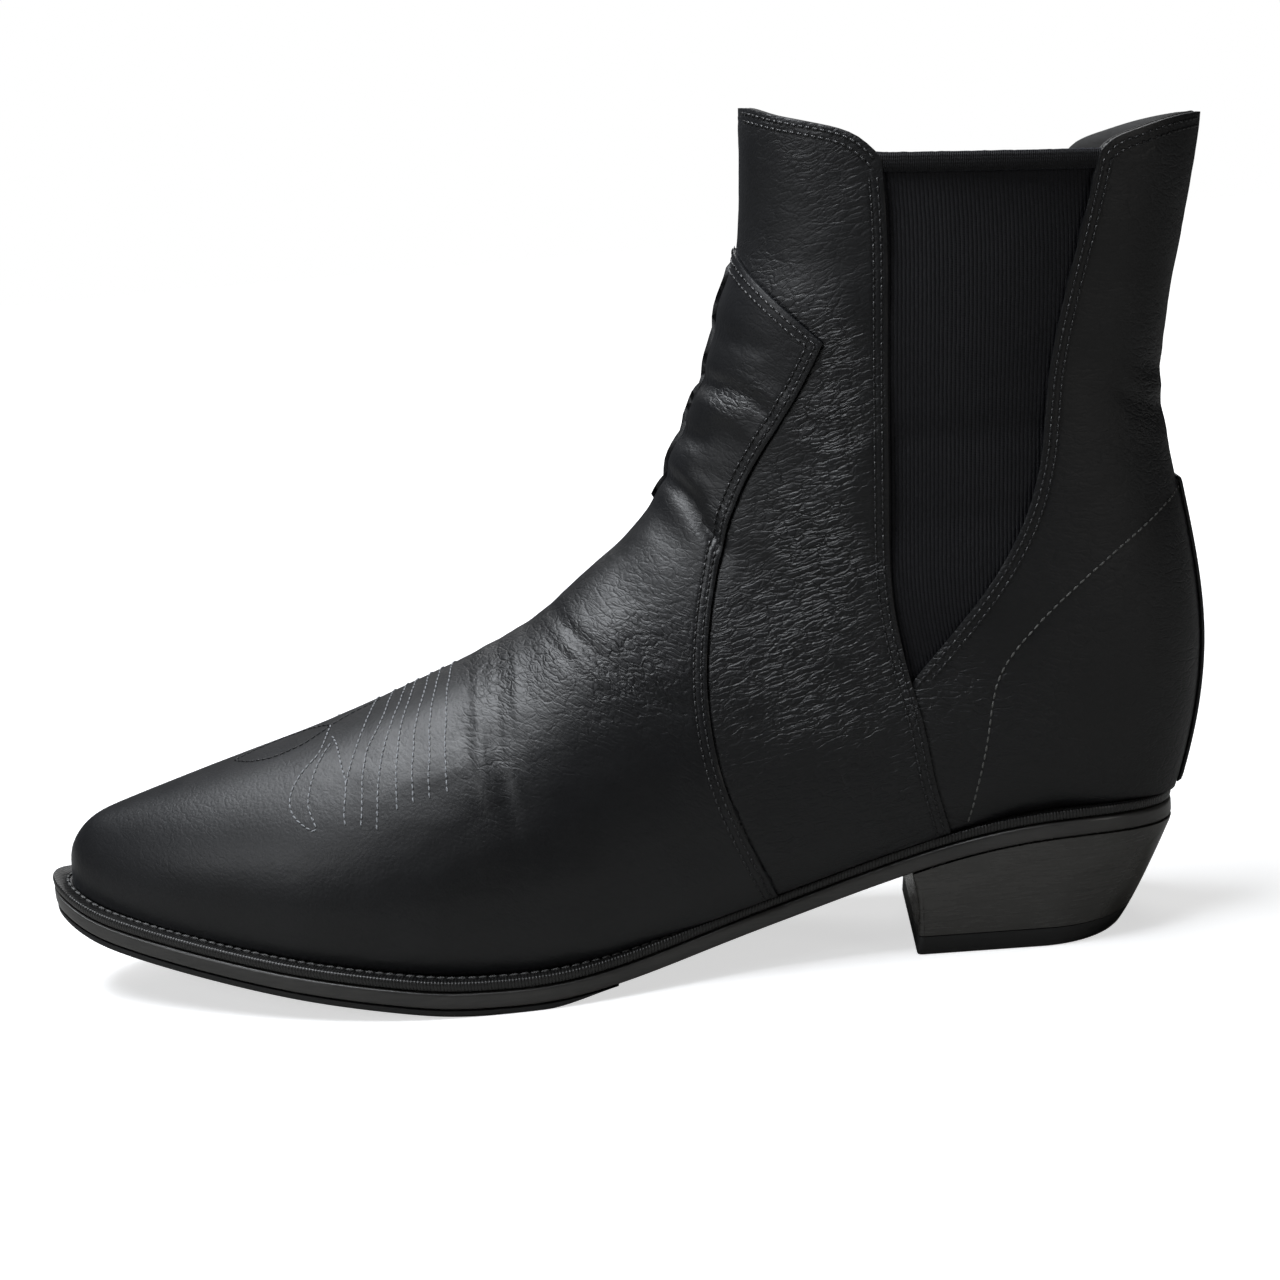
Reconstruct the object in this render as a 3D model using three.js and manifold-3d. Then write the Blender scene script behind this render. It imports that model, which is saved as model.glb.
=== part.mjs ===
// A western ankle boot for the left foot, with a pointed toe, elastic side gores and a stacked heel.
// Millimetres. +X runs from the heel to the toe, +Y to the outer (lateral) side of the foot, +Z up.
import * as THREE from 'three';
import { ParametricGeometry } from 'three/addons/geometries/ParametricGeometry.js';
import { mergeVertices } from 'three/addons/utils/BufferGeometryUtils.js';
import Module from 'manifold-3d';

const wasm = await Module();
wasm.setup();

// Driving dimensions
const soleLength = 310.5; // welt tip to heel seat
const soleWidth = 107; // across the ball, welt edge to welt edge
const bootHeight = 223.5; // ground to the front of the collar, less the sole's own stack
const fit = 0.3; // clearance between two pieces that touch
const leather = 1.4; // outer leather
const stiffener = 1.1; // gore webbing, heel counter and toe puff
const lining = 1.0;
const backStripThick = 1.0;
const backStripWidth = 10;
const bindingHeight = 4.5;
const goreUnderlap = 7; // how far the elastic runs under the leather round it
const weltThick = 2.8;
const outsoleThick = 4.4;
const halfSoleThick = 1.8;
const insoleThick = 2.6;
const sockThick = 1.3;
const toeReach = 5.5; // welt beyond the upper round the toe and ball
const waistReach = 2.6;
const heelReach = 1.6;
const weltWidth = 9.6; // welt strip, outer edge to inner edge
const ribWidth = 3.0;
const halfSoleEnd = 44; // where the rubber forepart sole stops
const shankLength = 96;
const shankWidth = 15;
const shankThick = 1.6;
const heelLength = 73; // seat back to breast
const heelBackDrop = 15.5; // how far the heel's back slopes in down to the ground
const heelSideDrop = 3.2; // the same at each side
const heelTaper = 28; // height over which the heel draws in
const topPieceThick = 5.4;
const liftCount = 5;
const nailRadius = 1.0;
const nailLength = 22;
const pinRadius = 0.9;
const pinLength = 3.6;
const pinSunk = 0.1; // pin heads above the ground
const nailInset = 18; // heel nails, from the breast and from the back
const breastNailSide = 14;
const backNailSide = 10;
const shankMargin = 0.4; // shank's underside above the welt's
const shankSetback = 26.5; // middle of the shank ahead of the heel breast
const seatHalfWidth = 29.4; // upper's half width over the heel
const seatLow = 9.45; // feather line's lowest point on the last
const goreTopDrop = 2.4; // the elastic stops this far below its binding's edge
const goreOverrun = 30; // the cut across the elastic's top runs past its sides
const heelBlank = 45; // height the heel is cut from
const backStripTop = 118;
const backStripFront = -90;

// The last is drawn at the sizes below, and place() carries a drawn point to the sizes above.
const drawnLength = 310.5;
const drawnWidth = 107;
const drawnHeight = 223.5;
const ankleHeight = 120; // above it the shaft takes up any change of height
const lengthScale = soleLength / drawnLength;
const widthScale = soleWidth / drawnWidth;
const shaftScale = (bootHeight - ankleHeight) / (drawnHeight - ankleHeight);

function place([x, z]) {
  const above = Math.max(0, z - ankleHeight);
  return [x * lengthScale, z - above + above * shaftScale];
}

// Materials
function finish(color, roughness, metalness = 0) {
  return new THREE.MeshStandardMaterial({ color, roughness, metalness });
}
const blackLeather = () => finish(0x17181a, 0.42);
const liningLeather = () => finish(0x242322, 0.65);
const elastic = () => finish(0x101013, 0.85);
const soleLeather = () => finish(0x141414, 0.35);
const rubber = () => finish(0x111111, 0.7);
const fibreboard = () => finish(0x6d5a45, 0.8);
const cork = () => finish(0x9a7248, 0.9);
const steel = () => finish(0x8c8f93, 0.35, 1);

// Solids
function trianglesOf(geometry) {
  const bare = geometry.clone();
  bare.deleteAttribute('normal');
  bare.deleteAttribute('uv');
  const merged = mergeVertices(bare, 1e-3);
  const corners = [];
  for (let i = 0; i < merged.index.count; i += 3) {
    const [a, b, c] = [0, 1, 2].map((k) => merged.index.getX(i + k));
    if (a !== b && b !== c && c !== a) corners.push(a, b, c);
  }
  merged.setIndex(corners);
  return merged;
}

function signedVolume(geometry) {
  const { position } = geometry.attributes;
  const at = (i) => new THREE.Vector3().fromBufferAttribute(position, geometry.index.getX(i));
  let sum = 0;
  for (let i = 0; i < geometry.index.count; i += 3) sum += at(i).dot(at(i + 1).cross(at(i + 2)));
  return sum / 6;
}

function faceOut(geometry) {
  if (signedVolume(geometry) > 0) return geometry;
  const turned = Array.from(geometry.index.array);
  for (let i = 0; i < turned.length; i += 3) [turned[i], turned[i + 1]] = [turned[i + 1], turned[i]];
  geometry.setIndex(turned);
  return geometry;
}

function solidOf(geometry) {
  const closed = faceOut(trianglesOf(geometry));
  return new wasm.Manifold(new wasm.Mesh({
    numProp: 3,
    vertProperties: new Float32Array(closed.attributes.position.array),
    triVerts: new Uint32Array(closed.index.array),
  }));
}

function meshOf(name, solid, material) {
  const raw = solid.getMesh();
  const geometry = new THREE.BufferGeometry();
  geometry.setAttribute('position', new THREE.BufferAttribute(new Float32Array(raw.vertProperties), 3));
  geometry.setIndex(new THREE.BufferAttribute(new Uint32Array(raw.triVerts), 1));
  geometry.computeVertexNormals();
  const mesh = new THREE.Mesh(geometry, material);
  mesh.name = name;
  return mesh;
}

const far = 2 * Math.max(soleLength, bootHeight); // beyond the boot, for every cutter
const reach = soleWidth; // half the depth of a cutter, wider than the boot

// A prism that shows the given outline when the boot is seen from the side.
function sidePrism(points, nearY = -reach, farY = reach) {
  const shape = new THREE.Shape(points.map(([x, z]) => new THREE.Vector2(x, z)));
  const geometry = new THREE.ExtrudeGeometry(shape, { depth: farY - nearY, bevelEnabled: false, steps: 1 });
  geometry.rotateX(Math.PI / 2);
  geometry.translate(0, farY, 0);
  return solidOf(geometry);
}

// A prism that shows the given outline when the boot is seen from above.
function planPrism(points, low = -far, high = far) {
  const shape = new THREE.Shape(points.map(([x, y]) => new THREE.Vector2(x, y)));
  const geometry = new THREE.ExtrudeGeometry(shape, { depth: high - low, bevelEnabled: false, steps: 1 });
  geometry.translate(0, 0, low);
  return solidOf(geometry);
}

function box(lowX, highX, lowY, highY, lowZ, highZ) {
  const geometry = new THREE.BoxGeometry(highX - lowX, highY - lowY, highZ - lowZ);
  geometry.translate((lowX + highX) / 2, (lowY + highY) / 2, (lowZ + highZ) / 2);
  return solidOf(geometry);
}

function pin(x, y, lowZ, highZ, radius) {
  const geometry = new THREE.CylinderGeometry(radius, radius, highZ - lowZ, 10);
  geometry.rotateX(Math.PI / 2);
  geometry.translate(x, y, (lowZ + highZ) / 2);
  return solidOf(geometry);
}

function smooth(points, count) {
  const curve = new THREE.SplineCurve(points.map(([x, z]) => new THREE.Vector2(x, z)));
  return curve.getSpacedPoints(count).map((p) => [p.x, p.y]);
}

// An outline's points moved towards its inside (positive) or outside (negative).
function inset(points, amount) {
  const area = points.reduce((sum, p, i) => {
    const q = points[(i + 1) % points.length];
    return sum + p[0] * q[1] - q[0] * p[1];
  }, 0);
  const turn = Math.sign(area);
  return points.map((p, i) => {
    const before = points[(i + points.length - 1) % points.length];
    const after = points[(i + 1) % points.length];
    const along = new THREE.Vector2(after[0] - before[0], after[1] - before[1]).normalize();
    const by = typeof amount === 'function' ? amount(p[0]) : amount;
    return [p[0] - along.y * by * turn, p[1] + along.x * by * turn];
  });
}

// The last: rings that fan from the toe tip, over the instep and up the shaft
// Each ring lies in the plane through a point on the front line and one on the bottom or back line.
// [front point, back point, outer half width, inner half width, height share of the widest point,
//  fullness above it, fullness below it]
const rings = [
  [[197.0, 38.0], [197.0, 21.0], 2.6, 2.6, 0.45, 2.0, 2.4],
  [[195.0, 42.5], [195.0, 20.0], 7.2, 7.4, 0.42, 2.0, 3.0],
  [[190.0, 47.6], [190.0, 17.5], 12.4, 13.0, 0.38, 2.0, 3.4],
  [[181.0, 51.4], [181.0, 15.5], 18.4, 19.6, 0.36, 2.0, 3.8],
  [[166.0, 56.0], [166.0, 12.8], 26.6, 28.8, 0.34, 2.0, 4.0],
  [[146.0, 62.0], [146.0, 9.0], 35.0, 38.6, 0.34, 1.9, 4.0],
  [[122.0, 69.2], [122.0, 5.2], 43.0, 47.2, 0.33, 1.8, 4.0],
  [[100.0, 77.0], [98.0, 1.0], 46.9, 51.6, 0.33, 1.75, 4.0],
  [[79.0, 85.3], [74.0, -1.0], 47.2, 50.8, 0.33, 1.75, 4.0],
  [[62.1, 93.4], [52.0, -0.2], 45.4, 45.2, 0.33, 1.8, 4.0],
  [[51.5, 101.0], [32.0, 3.0], 42.0, 40.2, 0.34, 1.85, 3.8],
  [[43.0, 107.6], [10.0, 8.0], 38.6, 36.8, 0.35, 1.9, 3.6],
  [[36.5, 112.6], [-14.0, 14.6], 36.2, 35.0, 0.36, 1.95, 3.4],
  [[31.5, 117.2], [-40.0, 21.5], 35.2, 34.6, 0.37, 2.0, 3.2],
  [[28.2, 120.6], [-66.0, 27.0], 34.8, 34.6, 0.38, 2.0, 2.8],
  [[25.8, 123.6], [-88.0, 27.5], 34.6, 34.6, 0.4, 2.0, 2.5],
  [[23.8, 126.4], [-103.0, 27.0], 34.4, 34.4, 0.42, 2.0, 2.25],
  [[22.2, 129.2], [-110.2, 39.5], 34.2, 34.2, 0.44, 2.0, 2.1],
  [[20.0, 133.5], [-114.6, 56.0], 34.0, 34.0, 0.45, 2.0, 2.0],
  [[17.3, 138.9], [-116.9, 75.0], 33.6, 33.6, 0.46, 2.0, 2.0],
  [[14.1, 145.3], [-115.8, 96.0], 33.2, 33.2, 0.47, 2.05, 2.05],
  [[11.5, 150.2], [-112.8, 116.0], 32.8, 32.8, 0.48, 2.1, 2.1],
  [[9.2, 155.5], [-110.0, 134.0], 32.4, 32.4, 0.48, 2.15, 2.15],
  [[6.8, 162.0], [-109.4, 148.0], 32.2, 32.2, 0.49, 2.2, 2.2],
  [[4.0, 172.0], [-112.2, 164.5], 32.2, 32.2, 0.5, 2.25, 2.25],
  [[-0.5, 184.0], [-115.6, 179.5], 32.4, 32.4, 0.5, 2.25, 2.25],
  [[-3.0, 198.0], [-119.4, 196.5], 32.7, 32.7, 0.5, 2.25, 2.25],
  [[-4.4, 216.0], [-122.2, 210.5], 33.1, 33.1, 0.5, 2.25, 2.25],
  [[-5.6, 242.0], [-125.5, 236.0], 33.6, 33.6, 0.5, 2.25, 2.25],
];
const ringSides = 18;

function ringPoint(ring, turn, target) {
  const [front, back, outer, inner, belly, fullAbove, fullBelow] = ring;
  const [frontX, frontZ] = place(front);
  const [backX, backZ] = place(back);
  const angle = turn * 2 * Math.PI;
  const rise = Math.cos(angle);
  const side = Math.sin(angle);
  const fullness = rise > 0 ? fullAbove : fullBelow;
  const round = (Math.abs(rise) ** fullness + Math.abs(side) ** fullness) ** (-1 / fullness);
  const share = belly + (rise > 0 ? 1 - belly : belly) * rise * round;
  const half = (side > 0 ? outer : inner) * widthScale;
  target.x = backX + (frontX - backX) * share;
  target.y = half * side * round;
  target.z = backZ + (frontZ - backZ) * share;
}

function ringMiddle([front, back], target) {
  const [frontX, frontZ] = place(front);
  const [backX, backZ] = place(back);
  target.set((frontX + backX) / 2, 0, (frontZ + backZ) / 2);
}

// The outer surface of the upper as one closed body, moved inwards by the given depth.
function lastBody(depth) {
  const stacks = rings.length + 1;
  const surface = new ParametricGeometry((u, v, target) => {
    const step = Math.round(u * stacks);
    if (step === 0) ringMiddle(rings[0], target);
    else if (step === stacks) ringMiddle(rings[rings.length - 1], target);
    else ringPoint(rings[step - 1], v % 1, target);
  }, stacks, ringSides);
  const geometry = faceOut(trianglesOf(surface));
  geometry.computeVertexNormals();
  const { position, normal } = geometry.attributes;
  for (let i = 0; i < position.count; i++) {
    const x = position.getX(i) - normal.getX(i) * depth;
    const y = position.getY(i) - normal.getY(i) * depth;
    const z = position.getZ(i) - normal.getZ(i) * depth;
    position.setXYZ(i, x, y, z);
  }
  return solidOf(geometry);
}

// The depths of the layers, from the outside in
const middleFrom = leather + fit;
const liningFrom = middleFrom + stiffener + fit;
const footFrom = liningFrom + lining;
const outerSkin = lastBody(0).subtract(lastBody(leather));
const middleSkin = lastBody(middleFrom).subtract(lastBody(middleFrom + stiffener));
const liningSkin = lastBody(liningFrom).subtract(lastBody(footFrom));
const footSpace = lastBody(footFrom + fit);

// Lines seen from the side
const featherLine = [
  [225, 44], [203, 33.4], [189, 27.2], [176, 24.0], [155, 20.0], [127, 15.2], [100, 11.4],
  [88, 9.9], [76, 9.3], [60, 9.4], [38, 12.2], [17, 16.8], [-5, 22.4], [-24, 27.8],
  [-45, 33.3], [-60, 36.3], [-75, 37.7], [-90, 37.3], [-107, 35.0], [-130, 30],
].map(place);
const feather = smooth(featherLine, 22);
const soleStack = weltThick + outsoleThick + halfSoleThick + 2 * fit;
const ground = seatLow - soleStack;

const seam = (points, count) => smooth(points.map(place), count);
const collarFront = seam([
  [60, 224.5], [-4.7, 223.4], [-12, 220.8], [-25, 216.9], [-33, 213.6], [-38.8, 209.2],
], 7);
const collarRear = seam([
  [-92.5, 204.2], [-96, 206.4], [-103, 208.6], [-113.7, 210.7], [-150, 212.6],
], 6);
const goreFront = seam([
  [-38.8, 209.2], [-39.0, 190], [-37.2, 160], [-35.0, 123], [-34.3, 97.4], [-37.5, 75.4],
], 5);
const goreRear = seam([
  [-37.5, 75.4], [-57.9, 97.8], [-67.6, 112.4], [-74, 130], [-77.5, 152], [-85.5, 181], [-92.5, 204.2],
], 9);
const sideSeam = seam([
  [-37.5, 75.4], [-40.1, 63], [-41.9, 49.5], [-45, 35.4], [-50, 12],
], 4);
const vampPeak = place([-1.9, 185.3]);
const vampEar = place([-21.5, 163.3]);
const vampSide = seam([
  [-21.5, 163.3], [-11.9, 147.5], [1, 128.8], [10.5, 104.6], [14.8, 77], [11.7, 50.5], [3.4, 27.3], [-6, 0],
], 9);
const counterLine = seam([
  [-140, 128], [-111, 115.8], [-97.5, 107.6], [-82, 97.2], [-64, 81.4], [-56, 64], [-50, 36], [-46, 10],
], 9);
const puffLine = [[152, 100], [146, 0]].map(place);

const shift = (points, dx, dz = 0) => points.map(([x, z]) => [x + dx, z + dz]);

// What stands above the bottom unit, and what stands below the collar.
const last = (points) => points[points.length - 1];
const aboveSole = sidePrism([...shift(feather, 0, fit), [last(feather)[0], far], [feather[0][0], far]]);
const belowTop = sidePrism([
  [far, collarFront[0][1]], ...collarFront, ...collarRear, [last(collarRear)[0], -far], [far, -far],
]);

// Upper
const half = fit / 2;
const vampRegion = [
  [far, vampPeak[1] - half],
  [vampPeak[0], vampPeak[1] - half],
  [vampEar[0] + fit, vampEar[1]],
  ...shift(vampSide.slice(1), half),
  [far, -far],
];
const panelRegion = [
  [far, vampPeak[1] + half],
  [vampPeak[0], vampPeak[1] + half],
  [vampEar[0] - fit, vampEar[1]],
  ...shift(vampSide.slice(1), -half),
  [last(sideSeam)[0] + half, -far],
  ...shift(sideSeam.slice(1).reverse(), half),
  ...shift(goreFront.slice(1).reverse(), half),
  [goreFront[0][0] + half, far],
  [far, far],
];
const quarterRegion = [
  [-far, far],
  [last(goreRear)[0] - half, far],
  ...shift(goreRear.slice(1).reverse(), -half),
  ...shift(sideSeam, -half),
  [last(sideSeam)[0] - half, -far],
  [-far, -far],
];
const goreWindow = [...goreFront, ...goreRear.slice(1)];

function sideHalf(solid, side) {
  const edge = side * half;
  const cutter = side > 0 ? box(-far, far, edge, reach, -far, far) : box(-far, far, -reach, edge, -far, far);
  return solid.intersect(cutter);
}

function upperPiece(skin, region) {
  return skin.intersect(sidePrism(region)).intersect(aboveSole).intersect(belowTop);
}

const pieces = [];
const add = (name, solid, material) => pieces.push(meshOf(name, solid, material));
const sides = [['lateral', 1], ['medial', -1]];

add('vamp', upperPiece(outerSkin, vampRegion), blackLeather());
add('front_panel', upperPiece(outerSkin, panelRegion), blackLeather());
for (const [label, side] of sides) {
  add(`rear_quarter_${label}`, sideHalf(upperPiece(outerSkin, quarterRegion), side), blackLeather());
}

function goreBinding(side) {
  const [frontX, frontTop] = goreFront[0];
  const [rearX, rearTop] = last(goreRear);
  const strip = [
    [frontX - fit, frontTop],
    [frontX - fit, frontTop - bindingHeight],
    [rearX + goreTopDrop, rearTop - bindingHeight],
    [rearX + fit, rearTop],
  ];
  return sideHalf(outerSkin.intersect(sidePrism(strip)).intersect(belowTop), side);
}

function gore(side) {
  const wide = inset(goreWindow, -goreUnderlap);
  const [frontX, frontTop] = goreFront[0];
  const [rearX, rearTop] = last(goreRear);
  const topBand = sidePrism([
    [frontX + goreOverrun, frontTop + goreTopDrop],
    [rearX - goreOverrun, rearTop - goreTopDrop],
    [-far, -far],
    [far, -far],
  ]);
  return sideHalf(middleSkin.intersect(sidePrism(wide)).intersect(topBand).intersect(belowTop), side);
}

for (const [label, side] of sides) {
  add(`gore_${label}`, gore(side), elastic());
  add(`gore_binding_${label}`, goreBinding(side), elastic());
}

function backStrip() {
  const skin = lastBody(-fit - backStripThick).subtract(lastBody(-fit));
  const [frontX, top] = place([backStripFront, backStripTop]);
  const strip = box(-far, frontX, -backStripWidth / 2, backStripWidth / 2, -far, top);
  return skin.intersect(strip).intersect(aboveSole);
}
add('back_strip', backStrip(), blackLeather());

// Stiffeners and lining
const counterRegion = [[-far, counterLine[0][1]], ...counterLine, [-far, -far]];
const puffRegion = [[far, 120], puffLine[0], puffLine[1], [far, -far]];
add('heel_counter', upperPiece(middleSkin, counterRegion), fibreboard());
add('toe_puff', upperPiece(middleSkin, puffRegion), fibreboard());
add('vamp_lining', upperPiece(liningSkin, vampRegion), liningLeather());
add('front_lining', upperPiece(liningSkin, panelRegion), liningLeather());
for (const [label, side] of sides) {
  add(`quarter_lining_${label}`, sideHalf(upperPiece(liningSkin, quarterRegion), side), liningLeather());
}

// Bottom unit
// [along, outer half width, inner half width] of the upper's edge where it meets the welt
const featherWidths = [
  [196.4, 3.6, 3.6], [194.4, 6.9, 7.1], [190, 11.4, 12.0], [181, 17.6, 18.8], [166, 25.4, 27.8],
  [146, 33.6, 37.4], [122, 41.2, 45.4], [100, 45.0, 49.8], [86, 45.4, 50.6], [72, 44.6, 48.4],
  [56, 42.4, 43.2], [38, 38.0, 36.0], [17, 32.6, 30.2], [-5, 29.0, 27.6], [-24, 27.8, 27.4],
  [-45, 28.4, 28.4], [-66, 29.4, 29.4], [-79, 28.6, 28.6], [-88, 25.9, 25.9], [-95.5, 21.2, 21.2],
  [-101.5, 14.6, 14.6], [-104.8, 7.6, 7.6],
];
const toeTip = 197.2;
const seatEnd = -106;

function bottomOutline(depth) {
  const outerSide = featherWidths.map(([x, outer]) => [x * lengthScale, outer * widthScale]);
  const innerSide = featherWidths.map(([x, , inner]) => [x * lengthScale, -inner * widthScale]).reverse();
  const edge = [[toeTip * lengthScale, 0], ...outerSide, [seatEnd * lengthScale, 0], ...innerSide];
  return inset(inset(edge, (x) => -reachAt(x)), depth);
}

function reachAt(x) {
  const fore = THREE.MathUtils.smoothstep(x, 0, 70);
  const rear = THREE.MathUtils.smoothstep(-x, 20, 50);
  return waistReach + (toeReach - waistReach) * fore + (heelReach - waistReach) * rear;
}

// A layer between two depths under the feather line.
function band(top, bottom) {
  return sidePrism([...shift(feather, 0, -top), ...shift(feather, 0, -bottom).reverse()]);
}

const heelBack = Math.min(...bottomOutline(0).map(([x]) => x));
const breastX = heelBack + heelLength;
const wholeBottom = planPrism(bottomOutline(0));
const insideWelt = planPrism(bottomOutline(weltWidth));
const ribOutside = planPrism(bottomOutline(weltWidth + fit));
const ribInside = planPrism(bottomOutline(weltWidth + fit + ribWidth));
const corkOutside = planPrism(bottomOutline(weltWidth + 2 * fit + ribWidth));
const inFront = (x) => box(x, far, -reach, reach, -far, far);
const behind = (x) => box(-far, x, -reach, reach, -far, far);
const weltLayer = band(0, weltThick);
const weltRing = wholeBottom.subtract(insideWelt).intersect(weltLayer);
add('welt', weltRing.intersect(inFront(breastX + half)), soleLeather());
add('heel_rand', weltRing.intersect(behind(breastX - half)), soleLeather());
add('insole_rib', ribOutside.subtract(ribInside).intersect(weltLayer), fibreboard());

const shankLow = weltThick - shankThick - shankMargin;
const shankMiddle = breastX + shankSetback;

function shankPlan(spare) {
  const along = shankLength / 2 + spare;
  const across = shankWidth / 2 + spare;
  return box(shankMiddle - along, shankMiddle + along, -across, across, -far, far);
}
add('cork_filler', corkOutside.intersect(weltLayer).subtract(shankPlan(fit)), cork());
add('shank', shankPlan(0).intersect(band(shankLow, shankLow + shankThick)), steel());

const sockLow = insoleThick + 2 * fit;
add('insole', footSpace.intersect(band(-insoleThick - fit, -fit)), fibreboard());
add('sock_liner', footSpace.intersect(band(-sockLow - sockThick, -sockLow)), liningLeather());

const heelNails = [
  [breastX - nailInset, breastNailSide],
  [breastX - nailInset, -breastNailSide],
  [heelBack + nailInset, backNailSide],
  [heelBack + nailInset, -backNailSide],
];
const outsoleTop = weltThick + fit;
const outsoleLow = outsoleTop + outsoleThick;
function nail([x, y]) {
  const seat = heightOn(feather, x) - outsoleTop - fit;
  return [x, y, seat - nailLength, seat];
}

function heightOn(line, x) {
  for (let i = 1; i < line.length; i++) {
    const [x0, z0] = line[i - 1];
    const [x1, z1] = line[i];
    if (x <= x0 && x >= x1) return z0 + ((z1 - z0) * (x - x0)) / (x1 - x0);
  }
  return line[line.length - 1][1];
}
const nailHoles = heelNails.map((at) => {
  const [x, y, low, high] = nail(at);
  return pin(x, y, low - fit, high + outsoleThick, nailRadius + fit);
});
const withoutNails = (solid) => nailHoles.reduce((rest, hole) => rest.subtract(hole), solid);

add('outsole', withoutNails(wholeBottom.intersect(band(outsoleTop, outsoleLow))), soleLeather());
const aboveGround = box(-far, far, -reach, reach, ground, far);
const halfSoleBody = wholeBottom.intersect(inFront(halfSoleEnd * lengthScale)).intersect(aboveGround);
add('half_sole', halfSoleBody.intersect(band(outsoleLow + fit, soleStack)), rubber());

// Heel
const heelHalf = (seatHalfWidth + heelReach) * widthScale;

// The heel's D outline, drawn in towards the ground at its back and sides.
function heelBody() {
  const arcX = heelBack + heelHalf;
  const shape = new THREE.Shape();
  shape.moveTo(breastX, -heelHalf);
  shape.lineTo(breastX, heelHalf);
  shape.lineTo(arcX, heelHalf);
  shape.absarc(arcX, 0, heelHalf, Math.PI / 2, (3 * Math.PI) / 2, false);
  const depth = heelBlank - ground;
  const geometry = new THREE.ExtrudeGeometry(shape, { depth, steps: 5, curveSegments: 10, bevelEnabled: false });
  geometry.translate(0, 0, ground);
  const { position } = geometry.attributes;
  for (let i = 0; i < position.count; i++) {
    const z = position.getZ(i);
    const drop = Math.max(0, 1 - (Math.max(0, z - ground) / heelTaper) ** 0.85);
    const along = (breastX - position.getX(i)) / (breastX - heelBack);
    position.setX(i, position.getX(i) + along * heelBackDrop * drop);
    position.setY(i, position.getY(i) * (1 - (heelSideDrop / heelHalf) * drop));
  }
  return solidOf(geometry);
}

const heel = heelBody();
const heelX = [-6, 15, 30, 45, 60, heelLength + 8].map((back) => breastX - back);
const seatZ = (x) => heightOn(feather, x) - outsoleLow - fit;
const topPieceTop = ground + topPieceThick;

// The boundary under lift number n, from the flat top piece (0) to the curved seat (liftCount).
function liftLine(n, raise) {
  return heelX.map((x) => [x, topPieceTop + fit + ((seatZ(x) - topPieceTop) * n) / liftCount + raise]);
}

for (let n = 0; n < liftCount; n++) {
  const layer = sidePrism([...liftLine(n + 1, -fit), ...liftLine(n, 0).reverse()]);
  add(`heel_lift_${n + 1}`, withoutNails(heel.intersect(layer)), soleLeather());
}
heelNails.forEach((at, n) => add(`heel_nail_${n + 1}`, pin(...nail(at), nailRadius), steel()));

// [behind the breast, off the middle]
const pinPlan = [[10, 18], [10, -18], [28, 0], [43, 13], [43, -13]];
const pinPlaces = pinPlan.map(([back, y]) => [breastX - back, y]);
const pinHoles = pinPlaces.map(([x, y]) => pin(x, y, ground - 1, ground + pinLength + fit, pinRadius + fit));
const topPiece = heel.intersect(box(-far, breastX + 1, -reach, reach, ground, topPieceTop));
add('heel_top_piece', pinHoles.reduce((rest, hole) => rest.subtract(hole), topPiece), rubber());
pinPlaces.forEach(([x, y], n) => {
  add(`top_piece_pin_${n + 1}`, pin(x, y, ground + pinSunk, ground + pinLength, pinRadius), steel());
});

// Assembly: the origin is the middle of the box's floor
const boot = new THREE.Group();
boot.add(...pieces);
const bounds = new THREE.Box3().setFromObject(boot);
const middle = bounds.getCenter(new THREE.Vector3());
for (const piece of pieces) piece.position.set(-middle.x, -middle.y, -bounds.min.z);

export default boot;
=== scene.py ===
# Left western ankle boot: black calf upper, elastic gores, wheeled welt, slanted stacked heel.
import math
import bmesh
import bpy
import numpy as np
from mathutils import Matrix, Vector, noise


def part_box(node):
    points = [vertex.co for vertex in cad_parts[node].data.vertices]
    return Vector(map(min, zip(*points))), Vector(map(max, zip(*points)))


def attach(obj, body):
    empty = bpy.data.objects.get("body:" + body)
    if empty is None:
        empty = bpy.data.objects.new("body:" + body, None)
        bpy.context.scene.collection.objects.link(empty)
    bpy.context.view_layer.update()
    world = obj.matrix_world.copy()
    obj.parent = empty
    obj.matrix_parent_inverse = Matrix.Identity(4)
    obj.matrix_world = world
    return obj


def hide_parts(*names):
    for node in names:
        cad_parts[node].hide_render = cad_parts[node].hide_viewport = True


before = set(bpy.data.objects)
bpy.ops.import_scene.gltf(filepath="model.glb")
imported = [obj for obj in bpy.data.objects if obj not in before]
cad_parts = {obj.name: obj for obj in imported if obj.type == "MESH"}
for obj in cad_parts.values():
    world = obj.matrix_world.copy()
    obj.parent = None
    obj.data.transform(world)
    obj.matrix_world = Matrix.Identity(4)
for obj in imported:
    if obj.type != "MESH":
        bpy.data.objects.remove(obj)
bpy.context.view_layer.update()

print("frame loaded")

# where the last stands in the frame, in millimetres
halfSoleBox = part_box("half_sole")
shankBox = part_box("shank")
halfSoleEnd = 44.0
layout = {
    "x": halfSoleBox[0][0] * 1000 - halfSoleEnd,
    "y": (shankBox[0][1] + shankBox[1][1]) * 500,
    "z": 0.15,  # the drawn ground line lies this far under the frame's floor
}
body = "root"


def toFrame(points):  # millimetres on the last to metres in the frame
    return (np.asarray(points, float) + [layout["x"], layout["y"], layout["z"]]) * 0.001


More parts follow.
